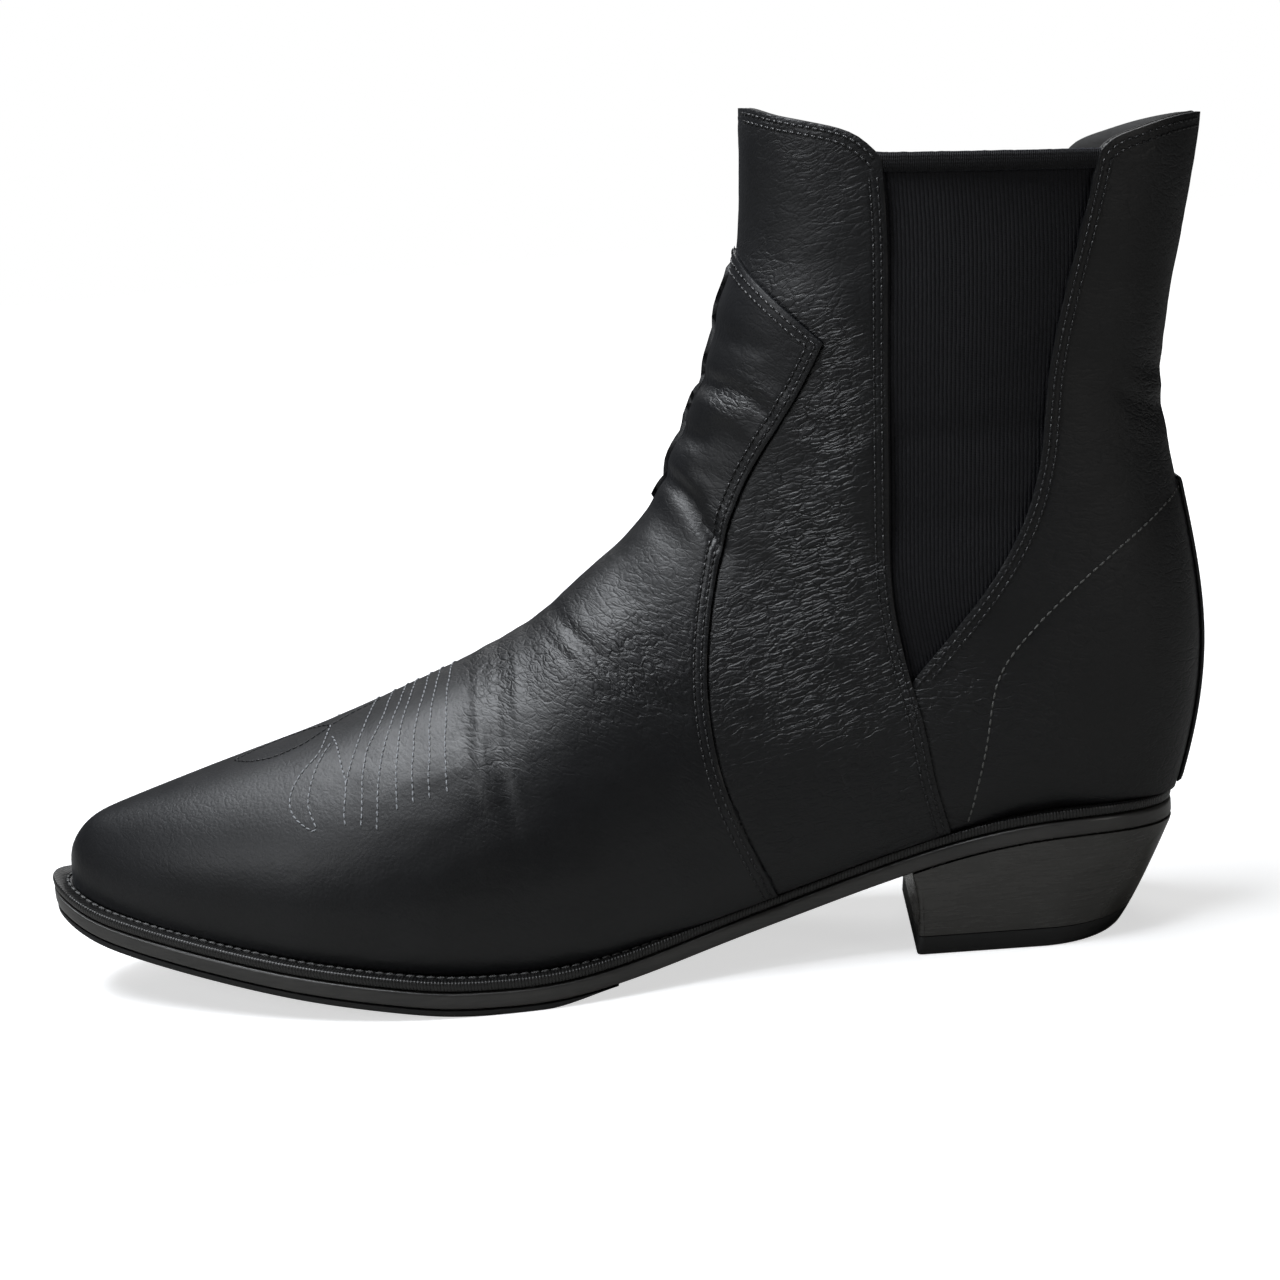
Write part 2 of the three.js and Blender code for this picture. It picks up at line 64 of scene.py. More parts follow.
# curves
def splineThrough(knots, values):  # natural cubic through rows of values
    k = np.asarray(knots, float)
    y = np.asarray(values, float)
    flat = y.ndim == 1
    if flat:
        y = y[:, None]
    h = np.diff(k)
    size = len(k)
    a = np.eye(size)
    r = np.zeros_like(y)
    for i in range(1, size - 1):
        a[i, i - 1], a[i, i], a[i, i + 1] = h[i - 1], 2 * (h[i - 1] + h[i]), h[i]
        r[i] = 6 * ((y[i + 1] - y[i]) / h[i] - (y[i] - y[i - 1]) / h[i - 1])
    m = np.linalg.solve(a, r)

    def at(t):
        t = np.clip(np.asarray(t, float), k[0], k[-1])
        i = np.clip(np.searchsorted(k, t, side="right") - 1, 0, size - 2)
        p = (t - k[i])[..., None]
        w = h[i][..., None]
        q = w - p
        out = m[i] * q**3 / (6 * w) + m[i + 1] * p**3 / (6 * w)
        out = out + (y[i] / w - m[i] * w / 6) * q + (y[i + 1] / w - m[i + 1] * w / 6) * p
        return out[..., 0] if flat else out

    return at


def runAlong(points, rooted=False):  # distance covered at each point of a line, or the sum of the gaps' roots
    gaps = np.linalg.norm(np.diff(points, axis=0), axis=1)
    return np.concatenate([[0], np.cumsum(np.sqrt(gaps) if rooted else gaps)])


def rowsAt(at, run, rows):
    return np.stack([np.interp(at, run, column) for column in rows.T], axis=1)


def evenly(points, step):
    run = runAlong(points)
    return rowsAt(np.linspace(0, run[-1], max(2, int(round(run[-1] / step)) + 1)), run, points)


def curveThrough(points, step=1.0):  # evenly spaced points on a smooth line
    pts = np.asarray(points, float)
    knots = runAlong(pts, rooted=True)
    return evenly(splineThrough(knots, pts)(np.linspace(0, knots[-1], 60 * len(pts))), step)


def smoothStep(low, high, value):
    t = np.clip((np.asarray(value, float) - low) / (high - low), 0, 1)
    return t * t * (3 - 2 * t)


# the last: rings that fan from the toe tip over the instep and up the shaft
# front point x z, back point x z, outer and inner half width, height share of the widest point,
# fullness above and below
lastRings = np.array([
    [197.0, 38.0, 197.0, 21.0, 2.6, 2.6, 0.45, 2.0, 2.4],
    [195.0, 42.5, 195.0, 20.0, 7.2, 7.4, 0.42, 2.0, 3.0],
    [190.0, 47.6, 190.0, 17.5, 12.4, 13.0, 0.38, 2.0, 3.4],
    [181.0, 51.4, 181.0, 15.5, 18.4, 19.6, 0.36, 2.0, 3.8],
    [166.0, 56.0, 166.0, 12.8, 26.6, 28.8, 0.34, 2.0, 4.0],
    [146.0, 62.0, 146.0, 9.0, 35.0, 38.6, 0.34, 1.9, 4.0],
    [122.0, 69.2, 122.0, 5.2, 43.0, 47.2, 0.33, 1.8, 4.0],
    [100.0, 77.0, 98.0, 1.0, 46.9, 51.6, 0.33, 1.75, 4.0],
    [79.0, 85.3, 74.0, -1.0, 47.2, 50.8, 0.33, 1.75, 4.0],
    [62.1, 93.4, 52.0, -0.2, 45.4, 45.2, 0.33, 1.8, 4.0],
    [51.5, 101.0, 32.0, 3.0, 42.0, 40.2, 0.34, 1.85, 3.8],
    [43.0, 107.6, 10.0, 8.0, 38.6, 36.8, 0.35, 1.9, 3.6],
    [36.5, 112.6, -14.0, 14.6, 36.2, 35.0, 0.36, 1.95, 3.4],
    [31.5, 117.2, -40.0, 21.5, 35.2, 34.6, 0.37, 2.0, 3.2],
    [28.2, 120.6, -66.0, 27.0, 34.8, 34.6, 0.38, 2.0, 2.8],
    [25.8, 123.6, -88.0, 27.5, 34.6, 34.6, 0.4, 2.0, 2.5],
    [23.8, 126.4, -103.0, 27.0, 34.4, 34.4, 0.42, 2.0, 2.25],
    [22.2, 129.2, -110.2, 39.5, 34.2, 34.2, 0.44, 2.0, 2.1],
    [20.0, 133.5, -114.6, 56.0, 34.0, 34.0, 0.45, 2.0, 2.0],
    [17.3, 138.9, -116.9, 75.0, 33.6, 33.6, 0.46, 2.0, 2.0],
    [14.1, 145.3, -115.8, 96.0, 33.2, 33.2, 0.47, 2.05, 2.05],
    [11.5, 150.2, -112.8, 116.0, 32.8, 32.8, 0.48, 2.1, 2.1],
    [9.2, 155.5, -110.0, 134.0, 32.4, 32.4, 0.48, 2.15, 2.15],
    [6.8, 162.0, -109.4, 148.0, 32.2, 32.2, 0.49, 2.2, 2.2],
    [4.0, 172.0, -112.2, 164.5, 32.2, 32.2, 0.5, 2.25, 2.25],
    [-0.5, 184.0, -115.6, 179.5, 32.4, 32.4, 0.5, 2.25, 2.25],
    [-3.0, 198.0, -119.4, 196.5, 32.7, 32.7, 0.5, 2.25, 2.25],
    [-4.4, 216.0, -122.2, 210.5, 33.1, 33.1, 0.5, 2.25, 2.25],
    [-5.6, 242.0, -125.5, 236.0, 33.6, 33.6, 0.5, 2.25, 2.25],
])
tipRing = np.array([197.5, 35.6, 197.5, 21.4, 0.0, 0.0, 0.46, 2.0, 2.2])
turned = np.array([1, 1, 1, 1, -1, -1, 1, 1, 1])  # rings mirrored past the tip make its nose round
allRings = np.vstack([lastRings[2] * turned, lastRings[1] * turned, lastRings[0] * turned, tipRing, lastRings])
ringGaps = (np.linalg.norm(np.diff(allRings[:, 0:2], axis=0), axis=1)
            + np.linalg.norm(np.diff(allRings[:, 2:4], axis=0), axis=1)
            + np.abs(np.diff(allRings[:, 4])))
ringKnots = np.concatenate([[0], np.cumsum(np.sqrt(ringGaps))])
ringKnots = ringKnots - ringKnots[3]
ringAt = splineThrough(ringKnots, allRings)
lastEnd = ringKnots[-1]


def skinPoint(u, angle):  # u runs toe to collar, angle 0 is the front line and pi the sole or back line
    ring = ringAt(u)
    rise = np.cos(angle)
    across = np.sin(angle)
    full = np.where(rise > 0, ring[..., 7], ring[..., 8])
    r = (np.abs(rise) ** full + np.abs(across) ** full) ** (-1 / full)
    room = np.where(rise > 0, 1 - ring[..., 6], ring[..., 6])
    share = ring[..., 6] + room * rise * r
    half = np.where(across > 0, ring[..., 4], ring[..., 5])
    x = ring[..., 2] + (ring[..., 0] - ring[..., 2]) * share
    z = ring[..., 3] + (ring[..., 1] - ring[..., 3]) * share
    return np.stack([x, half * across * r, z], axis=-1)


def onSkin(line, side=1):  # rows of u and angle to points
    return skinPoint(line[:, 0], line[:, 1] * side)


def skinSlopes(u, angle):
    du, da = 0.03, 0.004
    lowU, highU = np.maximum(u - du, 0), np.minimum(u + du, lastEnd)
    alongU = (skinPoint(highU, angle) - skinPoint(lowU, angle)) / (highU - lowU)[..., None]
    alongA = (skinPoint(u, angle + da) - skinPoint(u, angle - da)) / (2 * da)
    return alongU, alongA


def skinNormal(u, angle):
    alongU, alongA = skinSlopes(u, angle)
    n = np.cross(alongA, alongU)
    return n / np.maximum(np.linalg.norm(n, axis=-1), 1e-9)[..., None]


# the feather line: the top of the welt, seen from the side
featherPoints = np.array([[-130, 30], [-107, 35.0], [-90, 37.3], [-75, 37.7], [-60, 36.3], [-45, 33.3], [-24, 27.8],
                          [-5, 22.4], [17, 16.8], [38, 12.2], [60, 9.4], [76, 9.3], [88, 9.9], [100, 11.4],
                          [127, 15.2], [155, 20.0], [176, 24.0], [189, 27.2], [203, 33.4], [225, 44]], float)
featherHeight = splineThrough(featherPoints[:, 0], featherPoints[:, 1])
fit = 0.3  # gap between the upper's edge and the welt

sampleU = np.linspace(0, lastEnd, 900)
sampleAngles = np.linspace(0.15, math.pi, 420)
probe = skinPoint(*np.meshgrid(sampleU, sampleAngles, indexing="ij"))
clear = probe[..., 2] - featherHeight(probe[..., 0]) - fit
firstUnder = np.argmax(clear < 0, axis=1)
edgeAngles = []
for i, j in enumerate(firstUnder):
    if clear[i].min() >= 0 or j == 0:
        edgeAngles.append(math.pi)
    else:
        part = clear[i, j - 1] / (clear[i, j - 1] - clear[i, j])
        edgeAngles.append(sampleAngles[j - 1] + part * (sampleAngles[j] - sampleAngles[j - 1]))
edgeAngles = np.array(edgeAngles)


def featherAngle(u):
    return np.interp(u, sampleU, edgeAngles)


sampleRings = ringAt(sampleU)


def onSide(points):  # side-view points to u and angle on the outer side
    out = []
    fx, fz, bx, bz = (sampleRings[:, i] for i in range(4))
    for x, z in np.asarray(points, float):
        g = (fx - bx) * (z - bz) - (fz - bz) * (x - bx)
        shares = ((x - bx) * (fx - bx) + (z - bz) * (fz - bz)) / ((fx - bx) ** 2 + (fz - bz) ** 2)
        crossings = np.nonzero(np.signbit(g[:-1]) != np.signbit(g[1:]))[0]
        if len(crossings):
            i = crossings[np.argmin(np.abs(shares[crossings] - 0.5))]
        else:
            i = min(int(np.argmin(np.abs(g))), len(g) - 2)
        part = np.clip(g[i] / (g[i] - g[i + 1]), 0, 1) if g[i] != g[i + 1] else 0
        u = sampleU[i] + part * (sampleU[i + 1] - sampleU[i])
        ring = ringAt(u)
        d = ring[0:2] - ring[2:4]
        share = np.dot(np.array([x, z]) - ring[2:4], d) / np.dot(d, d)
        room = 1 - ring[6] if share > ring[6] else ring[6]
        full = ring[7] if share > ring[6] else ring[8]
        a = np.clip((share - ring[6]) / room, -1, 1)
        out.append([u, math.atan2((1 - abs(a) ** full) ** (1 / full), a)])
    return np.array(out)


# panel lines seen from the side
vampPeak = [-0.6, 188.5]
vampEar = [-21.5, 163.3]
sideLines = {
    "vampTop": [vampPeak, [-4.2, 181.8], vampEar],
    "vampSide": [vampEar, [-11.9, 147.5], [1, 128.8], [10.5, 104.6], [14.8, 77], [11.7, 50.5], [3.4, 27.3], [-6, 0]],
    "goreFront": [[-38.8, 209.2], [-39.0, 190], [-37.2, 160], [-35.0, 123], [-34.3, 97.4], [-37.5, 75.4]],
    "goreRear": [[-37.5, 75.4], [-48, 86.6], [-57.9, 97.8], [-67.6, 112.4], [-74, 130], [-77.5, 152], [-85.5, 181],
                 [-92.5, 204.2]],
    "sideSeam": [[-37.5, 75.4], [-40.1, 63], [-41.9, 49.5], [-45, 35.4], [-50, 12]],
    "collarFront": [[20, 224.5], [-4.7, 223.4], [-12, 220.8], [-25, 216.9], [-33, 213.4], [-38.8, 207.6]],
    "collarRear": [[-92.5, 203.6], [-96, 206.4], [-103, 208.6], [-113.7, 210.9], [-140, 212.8]],
    "counter": [[-122, 121.5], [-111, 115.8], [-97.5, 107.6], [-82, 97.2], [-67, 84.4], [-59.5, 74], [-56.2, 60],
                [-52.5, 45], [-50, 36]],
}
sideCurves = {name: curveThrough(points) for name, points in sideLines.items()}
backLimits = {"collarRear": -122.0, "counter": -113.2}  # where these two reach the back line
collarFrontLimit = -4.4
seams = {}
for name, curve in sideCurves.items():
    if name == "collarFront":
        curve = curve[curve[:, 0] < collarFrontLimit]
    seams[name] = onSide(curve[curve[:, 0] > backLimits.get(name, -500)])
seams["vampTop"][0, 1] = 0.0
seams["collarFront"][0, 1] = 0.0
seams["collarRear"][-1, 1] = math.pi
print("last and seams ready")


def seamPoints(*names):  # points of some seams, on both sides
    return np.vstack([onSkin(seams[name], side) for name in names for side in (1, -1)])


chunkSize = 5000  # points measured at a time


def distanceTo(points, targets):
    flat = points.reshape(-1, 3)
    out = np.empty(len(flat))
    for i in range(0, len(flat), chunkSize):
        d = flat[i:i + chunkSize, None, :] - targets[None]
        out[i:i + chunkSize] = np.sqrt((d**2).sum(-1).min(1))
    return out.reshape(points.shape[:-1])


def inPolygon(x, z, polygon):
    inside = np.zeros(x.shape, bool)
    px, pz = polygon[:, 0], polygon[:, 1]
    for i in range(len(polygon)):
        x0, z0, x1, z1 = px[i - 1], pz[i - 1], px[i], pz[i]
        if z0 == z1:
            continue
        crosses = ((z0 > z) != (z1 > z)) & (x < (x1 - x0) * (z - z0) / (z1 - z0) + x0)
        inside ^= crosses
    return inside


# leather folds, as lines seen from the side with their depth and half width in millimetres
folds = [
    ([[6, 168], [-2.7, 163.8], [-9, 161.5]], 0.55, 1.6),
    ([[12, 155], [7.5, 153.6], [-0.9, 150.4], [-6, 145.5], [-9.5, 142.5]], 1.2, 2.0),
    ([[8, 151.5], [1.5, 147.5], [-4, 142.5], [-8.4, 140.4]], 0.55, 1.1),
    ([[4, 153.6], [-4, 149.5], [-10.5, 146.4]], 0.4, 1.0),
    ([[18, 141.8], [13, 140], [9, 138]], 0.75, 1.7),
    ([[24, 131.5], [19.5, 128], [13.5, 121], [8.6, 113.5], [5.6, 107]], 1.25, 2.0),
    ([[21, 131], [15.6, 127], [9.5, 124.5], [3.2, 121.5]], 0.7, 1.3),
    ([[18, 127.5], [12, 122.6], [6.5, 117.4], [4.2, 114]], 0.5, 1.0),
    ([[17, 125], [11.5, 117], [8.6, 109], [8.4, 103]], 0.45, 1.0),
    ([[14, 125.5], [8.6, 121.6], [2.6, 117.6]], 0.4, 0.9),
    ([[-13.5, 146.3], [-20, 142.6], [-27, 141.5], [-34.5, 141.4]], 0.9, 1.7),
    ([[-12.5, 142.2], [-20, 139.2], [-28, 138.2], [-35, 137.6]], 0.55, 1.1),
    ([[-16, 148.6], [-22.5, 147.2], [-29, 145.2], [-34, 144.6]], 0.45, 1.1),
    ([[-2.6, 124], [-8.5, 118], [-16, 112.5], [-24, 109], [-33.5, 106.4]], 0.8, 1.8),
    ([[-0.5, 119.6], [-7, 113], [-14.5, 107.5], [-22, 104.4], [-31, 102]], 0.6, 1.3),
    ([[-5.6, 122.8], [-12.5, 118.6], [-20, 115.4], [-29, 113.6]], 0.45, 1.1),
    ([[2.6, 113], [-4.5, 106.4], [-12, 101.6], [-20, 99]], 0.5, 1.2),
    ([[3.6, 106], [-4, 100.6], [-12.5, 96.8], [-21.6, 95.2], [-31, 96]], 0.4, 1.1),
    ([[-23, 162.5], [-28, 160.6], [-34.6, 160.8]], 0.4, 1.2),
    ([[-22.4, 158.4], [-28.4, 155.6], [-34.4, 154.8]], 0.45, 1.2),
    ([[-21.6, 154], [-28, 151.4], [-34.2, 149.8]], 0.35, 1.0),
    ([[56, 97.6], [48.5, 92], [39, 84.4], [29.5, 77.5], [20, 72]], 0.5, 1.7),
    ([[52, 95], [43, 87.5], [34.6, 80], [26, 74.6], [17, 70.5]], 0.4, 1.1),
    ([[59, 93.5], [51.5, 87.5], [43.5, 80.4], [34, 74.5]], 0.35, 1.1),
    ([[46, 94.6], [38, 87.4], [31, 82.6], [22.5, 77.6]], 0.3, 1.0),
    ([[71.5, 90], [70.6, 82], [70.2, 70], [68.4, 56], [66, 44]], 0.55, 1.9),
    ([[74.6, 88], [74, 78], [72.6, 66], [71.5, 55]], 0.3, 1.0),
    ([[67.8, 91], [67.4, 80], [66, 68], [63.6, 58], [61, 50]], 0.3, 1.1),
    ([[79.5, 70], [77.6, 60], [75, 51.5]], 0.25, 1.1),
    ([[-93, 144.6], [-99, 142], [-106, 138.6], [-113, 137.4]], 0.8, 2.2),
    ([[-96, 139.4], [-103, 136], [-110, 133.4]], 0.4, 1.4),
    ([[-100, 150.4], [-106.5, 148.6], [-113, 147.2]], 0.45, 1.8),
]
foldLines = []
for points, depth, width in folds:
    line = onSide(curveThrough(points, 0.7))
    fade = np.interp(np.linspace(0, 1, len(line)), [0, 0.25, 0.7, 1], [0.35, 1, 0.9, 0.0])
    if points[0][0] < -90:  # a fold behind the ankle fades the other way
        fade = fade[::-1]
    pts = np.vstack([onSkin(line), onSkin(line, -1)])
    foldLines.append((pts, np.concatenate([fade, fade]), depth, width))


def noiseAt(points, size, seed=0.0):
    flat = np.asarray(points, float).reshape(-1, 3) / size + seed
    return np.array([noise.noise(Vector(p)) for p in flat]).reshape(np.shape(points)[:-1])


softBulges = [  # centre x z, size along x and z, height: the soft swells between the big folds
    ([2, 174], 9, 5.5, 0.7), ([4, 160], 10, 4.6, 0.8), ([9, 147.5], 9, 4.6, 0.95), ([16, 135], 9, 4.4, 0.95),
    ([-24, 128], 9, 7, 0.8), ([-22, 88], 12, 8, 0.5), ([-104, 158], 12, 7, 0.4), ([-26, 172], 12, 7, 0.35),
]


def relief(points):  # how far the leather stands off the last's smooth skin
    shape = points.shape[:-1]
    flat = points.reshape(-1, 3)
    out = np.zeros(len(flat))
    for pts, fade, depth, width in foldLines:
        reach = 4.6 * width
        low, high = pts.min(0) - reach, pts.max(0) + reach
        near = np.nonzero(((flat > low) & (flat < high)).all(1))[0]
        if not len(near):
            continue
        for i in range(0, len(near), chunkSize):
            part = near[i:i + chunkSize]
            d2 = ((flat[part, None, :] - pts[None]) ** 2).sum(-1)
            best = d2.argmin(1)
            d = np.sqrt(d2[np.arange(len(part)), best])
            ridge = 0.42 * np.exp(-(((d - 2.3 * width) / (1.3 * width)) ** 2))
            out[part] += depth * fade[best] * (ridge - np.exp(-((d / width) ** 2)))
    for (x, z), sizeX, sizeZ, tall in softBulges:
        out += tall * np.exp(-(((flat[:, 0] - x) / sizeX) ** 2) - (((flat[:, 2] - z) / sizeZ) ** 2))
    out = np.clip(out, -1.35, 1.3)
    wavy = 0.22 * noiseAt(flat * [1, 1, 1.6], 15.0, 3.1) + 0.07 * noiseAt(flat * [0.7, 0.7, 1.9], 4.2, 8.4)
    calm = smoothStep(150, 105, flat[:, 0])  # the toe box and the heel stay smooth
    calm = np.where(flat[:, 2] > 128, calm, calm * smoothStep(-112, -80, flat[:, 0]))
    out += wavy * calm
    return out.reshape(shape)


creaseZones = [  # centre x z, size along x and z, strength: where the leather has taken fine creases
    ([-24, 142], 14, 8, 0.9), ([-18, 112], 20, 14, 0.85), ([-16, 72], 30, 30, 0.55), ([2, 122], 12, 14, 0.6),
    ([38, 84], 24, 18, 0.55), ([73, 68], 9, 30, 0.6), ([-104, 142], 12, 9, 0.6), ([-24, 160], 9, 9, 0.6),
    ([0, 150], 9, 6, 0.55), ([-60, 72], 22, 14, 0.3),
]


def creasesAt(points):
    x, z = points[..., 0], points[..., 2]
    out = np.zeros(x.shape)
    for (cx, cz), sx, sz, strength in creaseZones:
        out = out + strength * np.exp(-(((x - cx) / sx) ** 2) - (((z - cz) / sz) ** 2))
    return np.clip(out, 0, 1)


# edges of the panels
vampEdge = seamPoints("vampTop", "vampSide")
gorePoints = {"front": seamPoints("goreFront"), "rear": seamPoints("goreRear")}
sideSeamPoints = seamPoints("sideSeam")
collarPoints = {"front": seamPoints("collarFront"), "rear": seamPoints("collarRear")}
counterPoints = seamPoints("counter")
vampOutline = np.vstack([sideCurves["vampTop"], sideCurves["vampSide"], [[240, 0], [240, 120], [30, 230]]])
frontOutline = np.vstack([[[-4, 240], [-38.8, 240]], sideCurves["goreFront"], sideCurves["sideSeam"],
                          [[60, 0], [60, 240]]])
counterOutline = np.vstack([sideCurves["counter"], [[-50, 0], [-200, 0], [-200, 140]]])

lap = {"vampRise": 0.75, "vampFade": 7.0, "sideRise": 0.6, "sideFade": 6.0, "underDrop": 0.75,
       "rows": (1.5, 3.4), "dimple": 0.17, "edgeRoll": 0.35, "collarBand": 8.0}
leatherSheet = {"wall": 1.15, "edge": 0.28, "slot": "upper_leather"}


def seamDimples(distance):  # thread pulls the leather down along both rows
    rows = sum(np.exp(-(((distance - row) / 0.5) ** 2)) for row in lap["rows"])
    return -lap["dimple"] * rows - lap["edgeRoll"] * np.exp(-((distance / 0.55) ** 2))


def collarDimples(points, edge):
    distance = distanceTo(points, collarPoints[edge])
    return np.where(distance < lap["collarBand"], seamDimples(distance), 0)


def vampHeight(points):
    d = distanceTo(points, vampEdge)
    return relief(points) + lap["vampRise"] * np.exp(-d / lap["vampFade"]) + seamDimples(d)


def frontHeight(points):
    d = distanceTo(points, vampEdge)
    under = inPolygon(points[..., 0], points[..., 2], vampOutline)
    out = relief(points)
    out = out - np.where(under, lap["underDrop"] + 0.05 * d, 0.28 * np.exp(-d / 2.2))
    side = distanceTo(points, sideSeamPoints)
    out = out + lap["sideRise"] * np.exp(-side / lap["sideFade"])
    edges = np.minimum(distanceTo(points, gorePoints["front"]), side)
    return out + seamDimples(edges) + collarDimples(points, "front")


def quarterHeight(points):
    side = distanceTo(points, sideSeamPoints)
    under = inPolygon(points[..., 0], points[..., 2], frontOutline) & (points[..., 2] < 82)
    out = relief(points)
    out = out - np.where(under, lap["underDrop"] + 0.08 * side, 0.3 * np.exp(-side / 2.0))
    c = distanceTo(points, counterPoints)
    inCounter = inPolygon(points[..., 0], points[..., 2], counterOutline)
    out = out + 0.28 * np.where(inCounter, 1 - np.exp(-c / 2.0), 0) - 0.22 * np.exp(-((c / 0.6) ** 2))
    return out + seamDimples(distanceTo(points, gorePoints["rear"])) + collarDimples(points, "rear")


# sheets
def gridPiece(points, outward, uvs=None, weld=0.02, creasing=None):
    nx, ny = points.shape[0] - 1, points.shape[1] - 1
    bm = bmesh.new()
    bmesh.ops.create_grid(bm, x_segments=nx, y_segments=ny, size=0.5)
    lowX, highX = min(v.co.x for v in bm.verts), max(v.co.x for v in bm.verts)
    placed = toFrame(points)
    uvLayer = bm.loops.layers.uv.new("along")
    creaseLayer = bm.verts.layers.float.new("creasing") if creasing is not None else None
    index = {}
    for v in bm.verts:
        share = [(c - lowX) / (highX - lowX) for c in v.co.xy]
        index[v] = int(round(share[0] * nx)), int(round(share[1] * ny))
    for v, (i, j) in index.items():
        v.co = placed[i, j]
        if creaseLayer:
            v[creaseLayer] = creasing[i, j]
    for face in bm.faces:
        for loop in face.loops:
            i, j = index[loop.vert]
            loop[uvLayer].uv = uvs[i, j] if uvs is not None else (i / nx, j / ny)
    du = np.gradient(points, axis=0)
    dv = np.gradient(points, axis=1)
    if (np.cross(du, dv) * outward).sum() < 0:
        bmesh.ops.reverse_faces(bm, faces=bm.faces)
    bmesh.ops.remove_doubles(bm, verts=bm.verts, dist=weld * 0.001)
    return bm


def placeObject(name, data):
    thing = bpy.data.objects.new(name, data)
    bpy.context.scene.collection.objects.link(thing)
    return thing


def finishPiece(name, bm, material, wall=0.0, edge=0.0, replaced=(), slot="upper_leather"):
    mesh = bpy.data.meshes.new(name)
    bm.to_mesh(mesh)
    bm.free()
    mesh.shade_smooth()
    piece = placeObject(name, mesh)
    mesh.materials.append(material)
    if wall:
        solid = piece.modifiers.new("wall", "SOLIDIFY")
        solid.thickness = wall * 0.001
        solid.offset = -1
        solid.use_even_offset = False
    if edge:
        bevel = piece.modifiers.new("edge", "BEVEL")
        bevel.width = edge * 0.001
        bevel.segments = 2
        bevel.limit_method = "ANGLE"
        bevel.angle_limit = math.radians(55)
        bevel.profile = 0.5
    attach(piece, body)
    if replaced:
        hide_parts(*replaced)
    return piece


def trimmed(line):  # cut a seam where it meets the feather
    over = line[:, 1] - featherAngle(line[:, 0])
    keep = np.nonzero((over >= 0) & (line[:, 1] < 3.1))[0]
    if not len(keep) or keep[0] == 0:
        return line.copy()
    i = keep[0]
    t = -over[i - 1] / (over[i] - over[i - 1])
    return np.vstack([line[:i], line[i - 1] + t * (line[i] - line[i - 1])])


def alongLine(line, fractions):  # rows of (u, angle) at even distances on the skin
    run = runAlong(onSkin(line))
    return rowsAt(np.asarray(fractions) * run[-1], run, line)


def lengthOf(line):
    return runAlong(onSkin(line))[-1]


def joinedLine(parts, counts):  # several seams end to end, with a corner kept at each join
    rows = []
    for n, (part, count) in enumerate(zip(parts, counts)):
        at = np.linspace(0, 1, count + 1)
        rows.append(alongLine(part, at if n == 0 else at[1:]))
    return np.vstack(rows)


def easedRows(count, start=0.0, dense=0.35):  # fractions that crowd a little towards the far edge
    t = np.linspace(0, 1, count + 1)
    t = t + dense * np.sin(np.pi * t) * t * (1 - t)
    return start + (1 - start) * t


def sheetPoints(us, angles, sides, height, drop=0.0):
    angle = angles * sides
    base = skinPoint(us, angle)
    normal = skinNormal(np.maximum(us, 0.06), np.where(np.abs(angle) < 0.004, 0.004, angle))
    tall = height(base) + drop
    return base + normal * tall[..., None], normal


def betweenLines(lower, upper, fractions):  # rows spaced evenly on the skin between matching points of two lines
    t = np.linspace(0, 1, 60)[None, :]
    us = lower[:, 0:1] + (upper[:, 0:1] - lower[:, 0:1]) * t
    angles = lower[:, 1:2] + (upper[:, 1:2] - lower[:, 1:2]) * t
    pts = skinPoint(us, angles)
    columns = []
    for low, high, column in zip(lower, upper, pts):
        run = runAlong(column)
        at = np.asarray(fractions) * run[-1]
        share = np.interp(np.clip(at, 0, None), run, t[0]) + np.where(at < 0, at / max(run[-1], 1e-6), 0)
        columns.append(low + (high - low) * share[:, None])
    return np.moveaxis(np.array(columns), 2, 0)


cutLines = {name: trimmed(line) for name, line in seams.items()}
topLine, sideLine = cutLines["vampTop"], cutLines["vampSide"]
frontEdge = [cutLines[name] for name in ("collarFront", "goreFront", "sideSeam")]
goreRearLine, collarRearLine = cutLines["goreRear"], cutLines["collarRear"]
collarRearLine[-1, 1] = math.pi


def halvesToWhole(us, angles):  # columns for both sides from columns for one, clear of the welt
    angles = np.minimum(angles, featherAngle(us))
    u = np.vstack([us[::-1][:-1], us])
    side = np.concatenate([np.ones(len(us) - 1), -np.ones(len(us))])[:, None] * np.ones_like(u)
    return u, np.vstack([angles[::-1][:-1], angles]), side


def makeSheet(name, grid, height, material, replaced, drop=0.0, uvs=None, **finish):
    points, normal = sheetPoints(*grid, height, drop)
    bm = gridPiece(points, normal, uvs, creasing=creasesAt(points))
    return finishPiece(name, bm, material, replaced=replaced, **finish)


def eachSide(word, us, angles, height, material, replaced, **finish):  # the same sheet on both sides
    for name, side in (("lateral", 1), ("medial", -1)):
        makeSheet(word + name, (us, angles, np.full_like(us, side)), height, material, [replaced + name], **finish)


# materials
def newGroup(name, outputs, inputs=()):
    group = bpy.data.node_groups.new(name, "ShaderNodeTree")
    for label, kind, value in inputs:
        socket = group.interface.new_socket(label, in_out="INPUT", socket_type="NodeSocket" + kind)
        socket.default_value = value
    for label, kind in outputs:
        group.interface.new_socket(label, in_out="OUTPUT", socket_type="NodeSocket" + kind)
    return group, group.nodes.new("NodeGroupInput"), group.nodes.new("NodeGroupOutput")


def addNode(tree, kind, settings=(), **inputs):
    node = tree.nodes.new("ShaderNode" + kind)
    for key, value in dict(settings).items():
        setattr(node, key, value)
    for key, value in inputs.items():
        numbered = key[0] == "i" and key[1:].isdigit()  # i0 is the first input
        socket = node.inputs[int(key[1:]) if numbered else key.replace("_", " ")]
        if isinstance(value, bpy.types.NodeSocket):
            tree.links.new(value, socket)
        else:
            socket.default_value = value
    return node


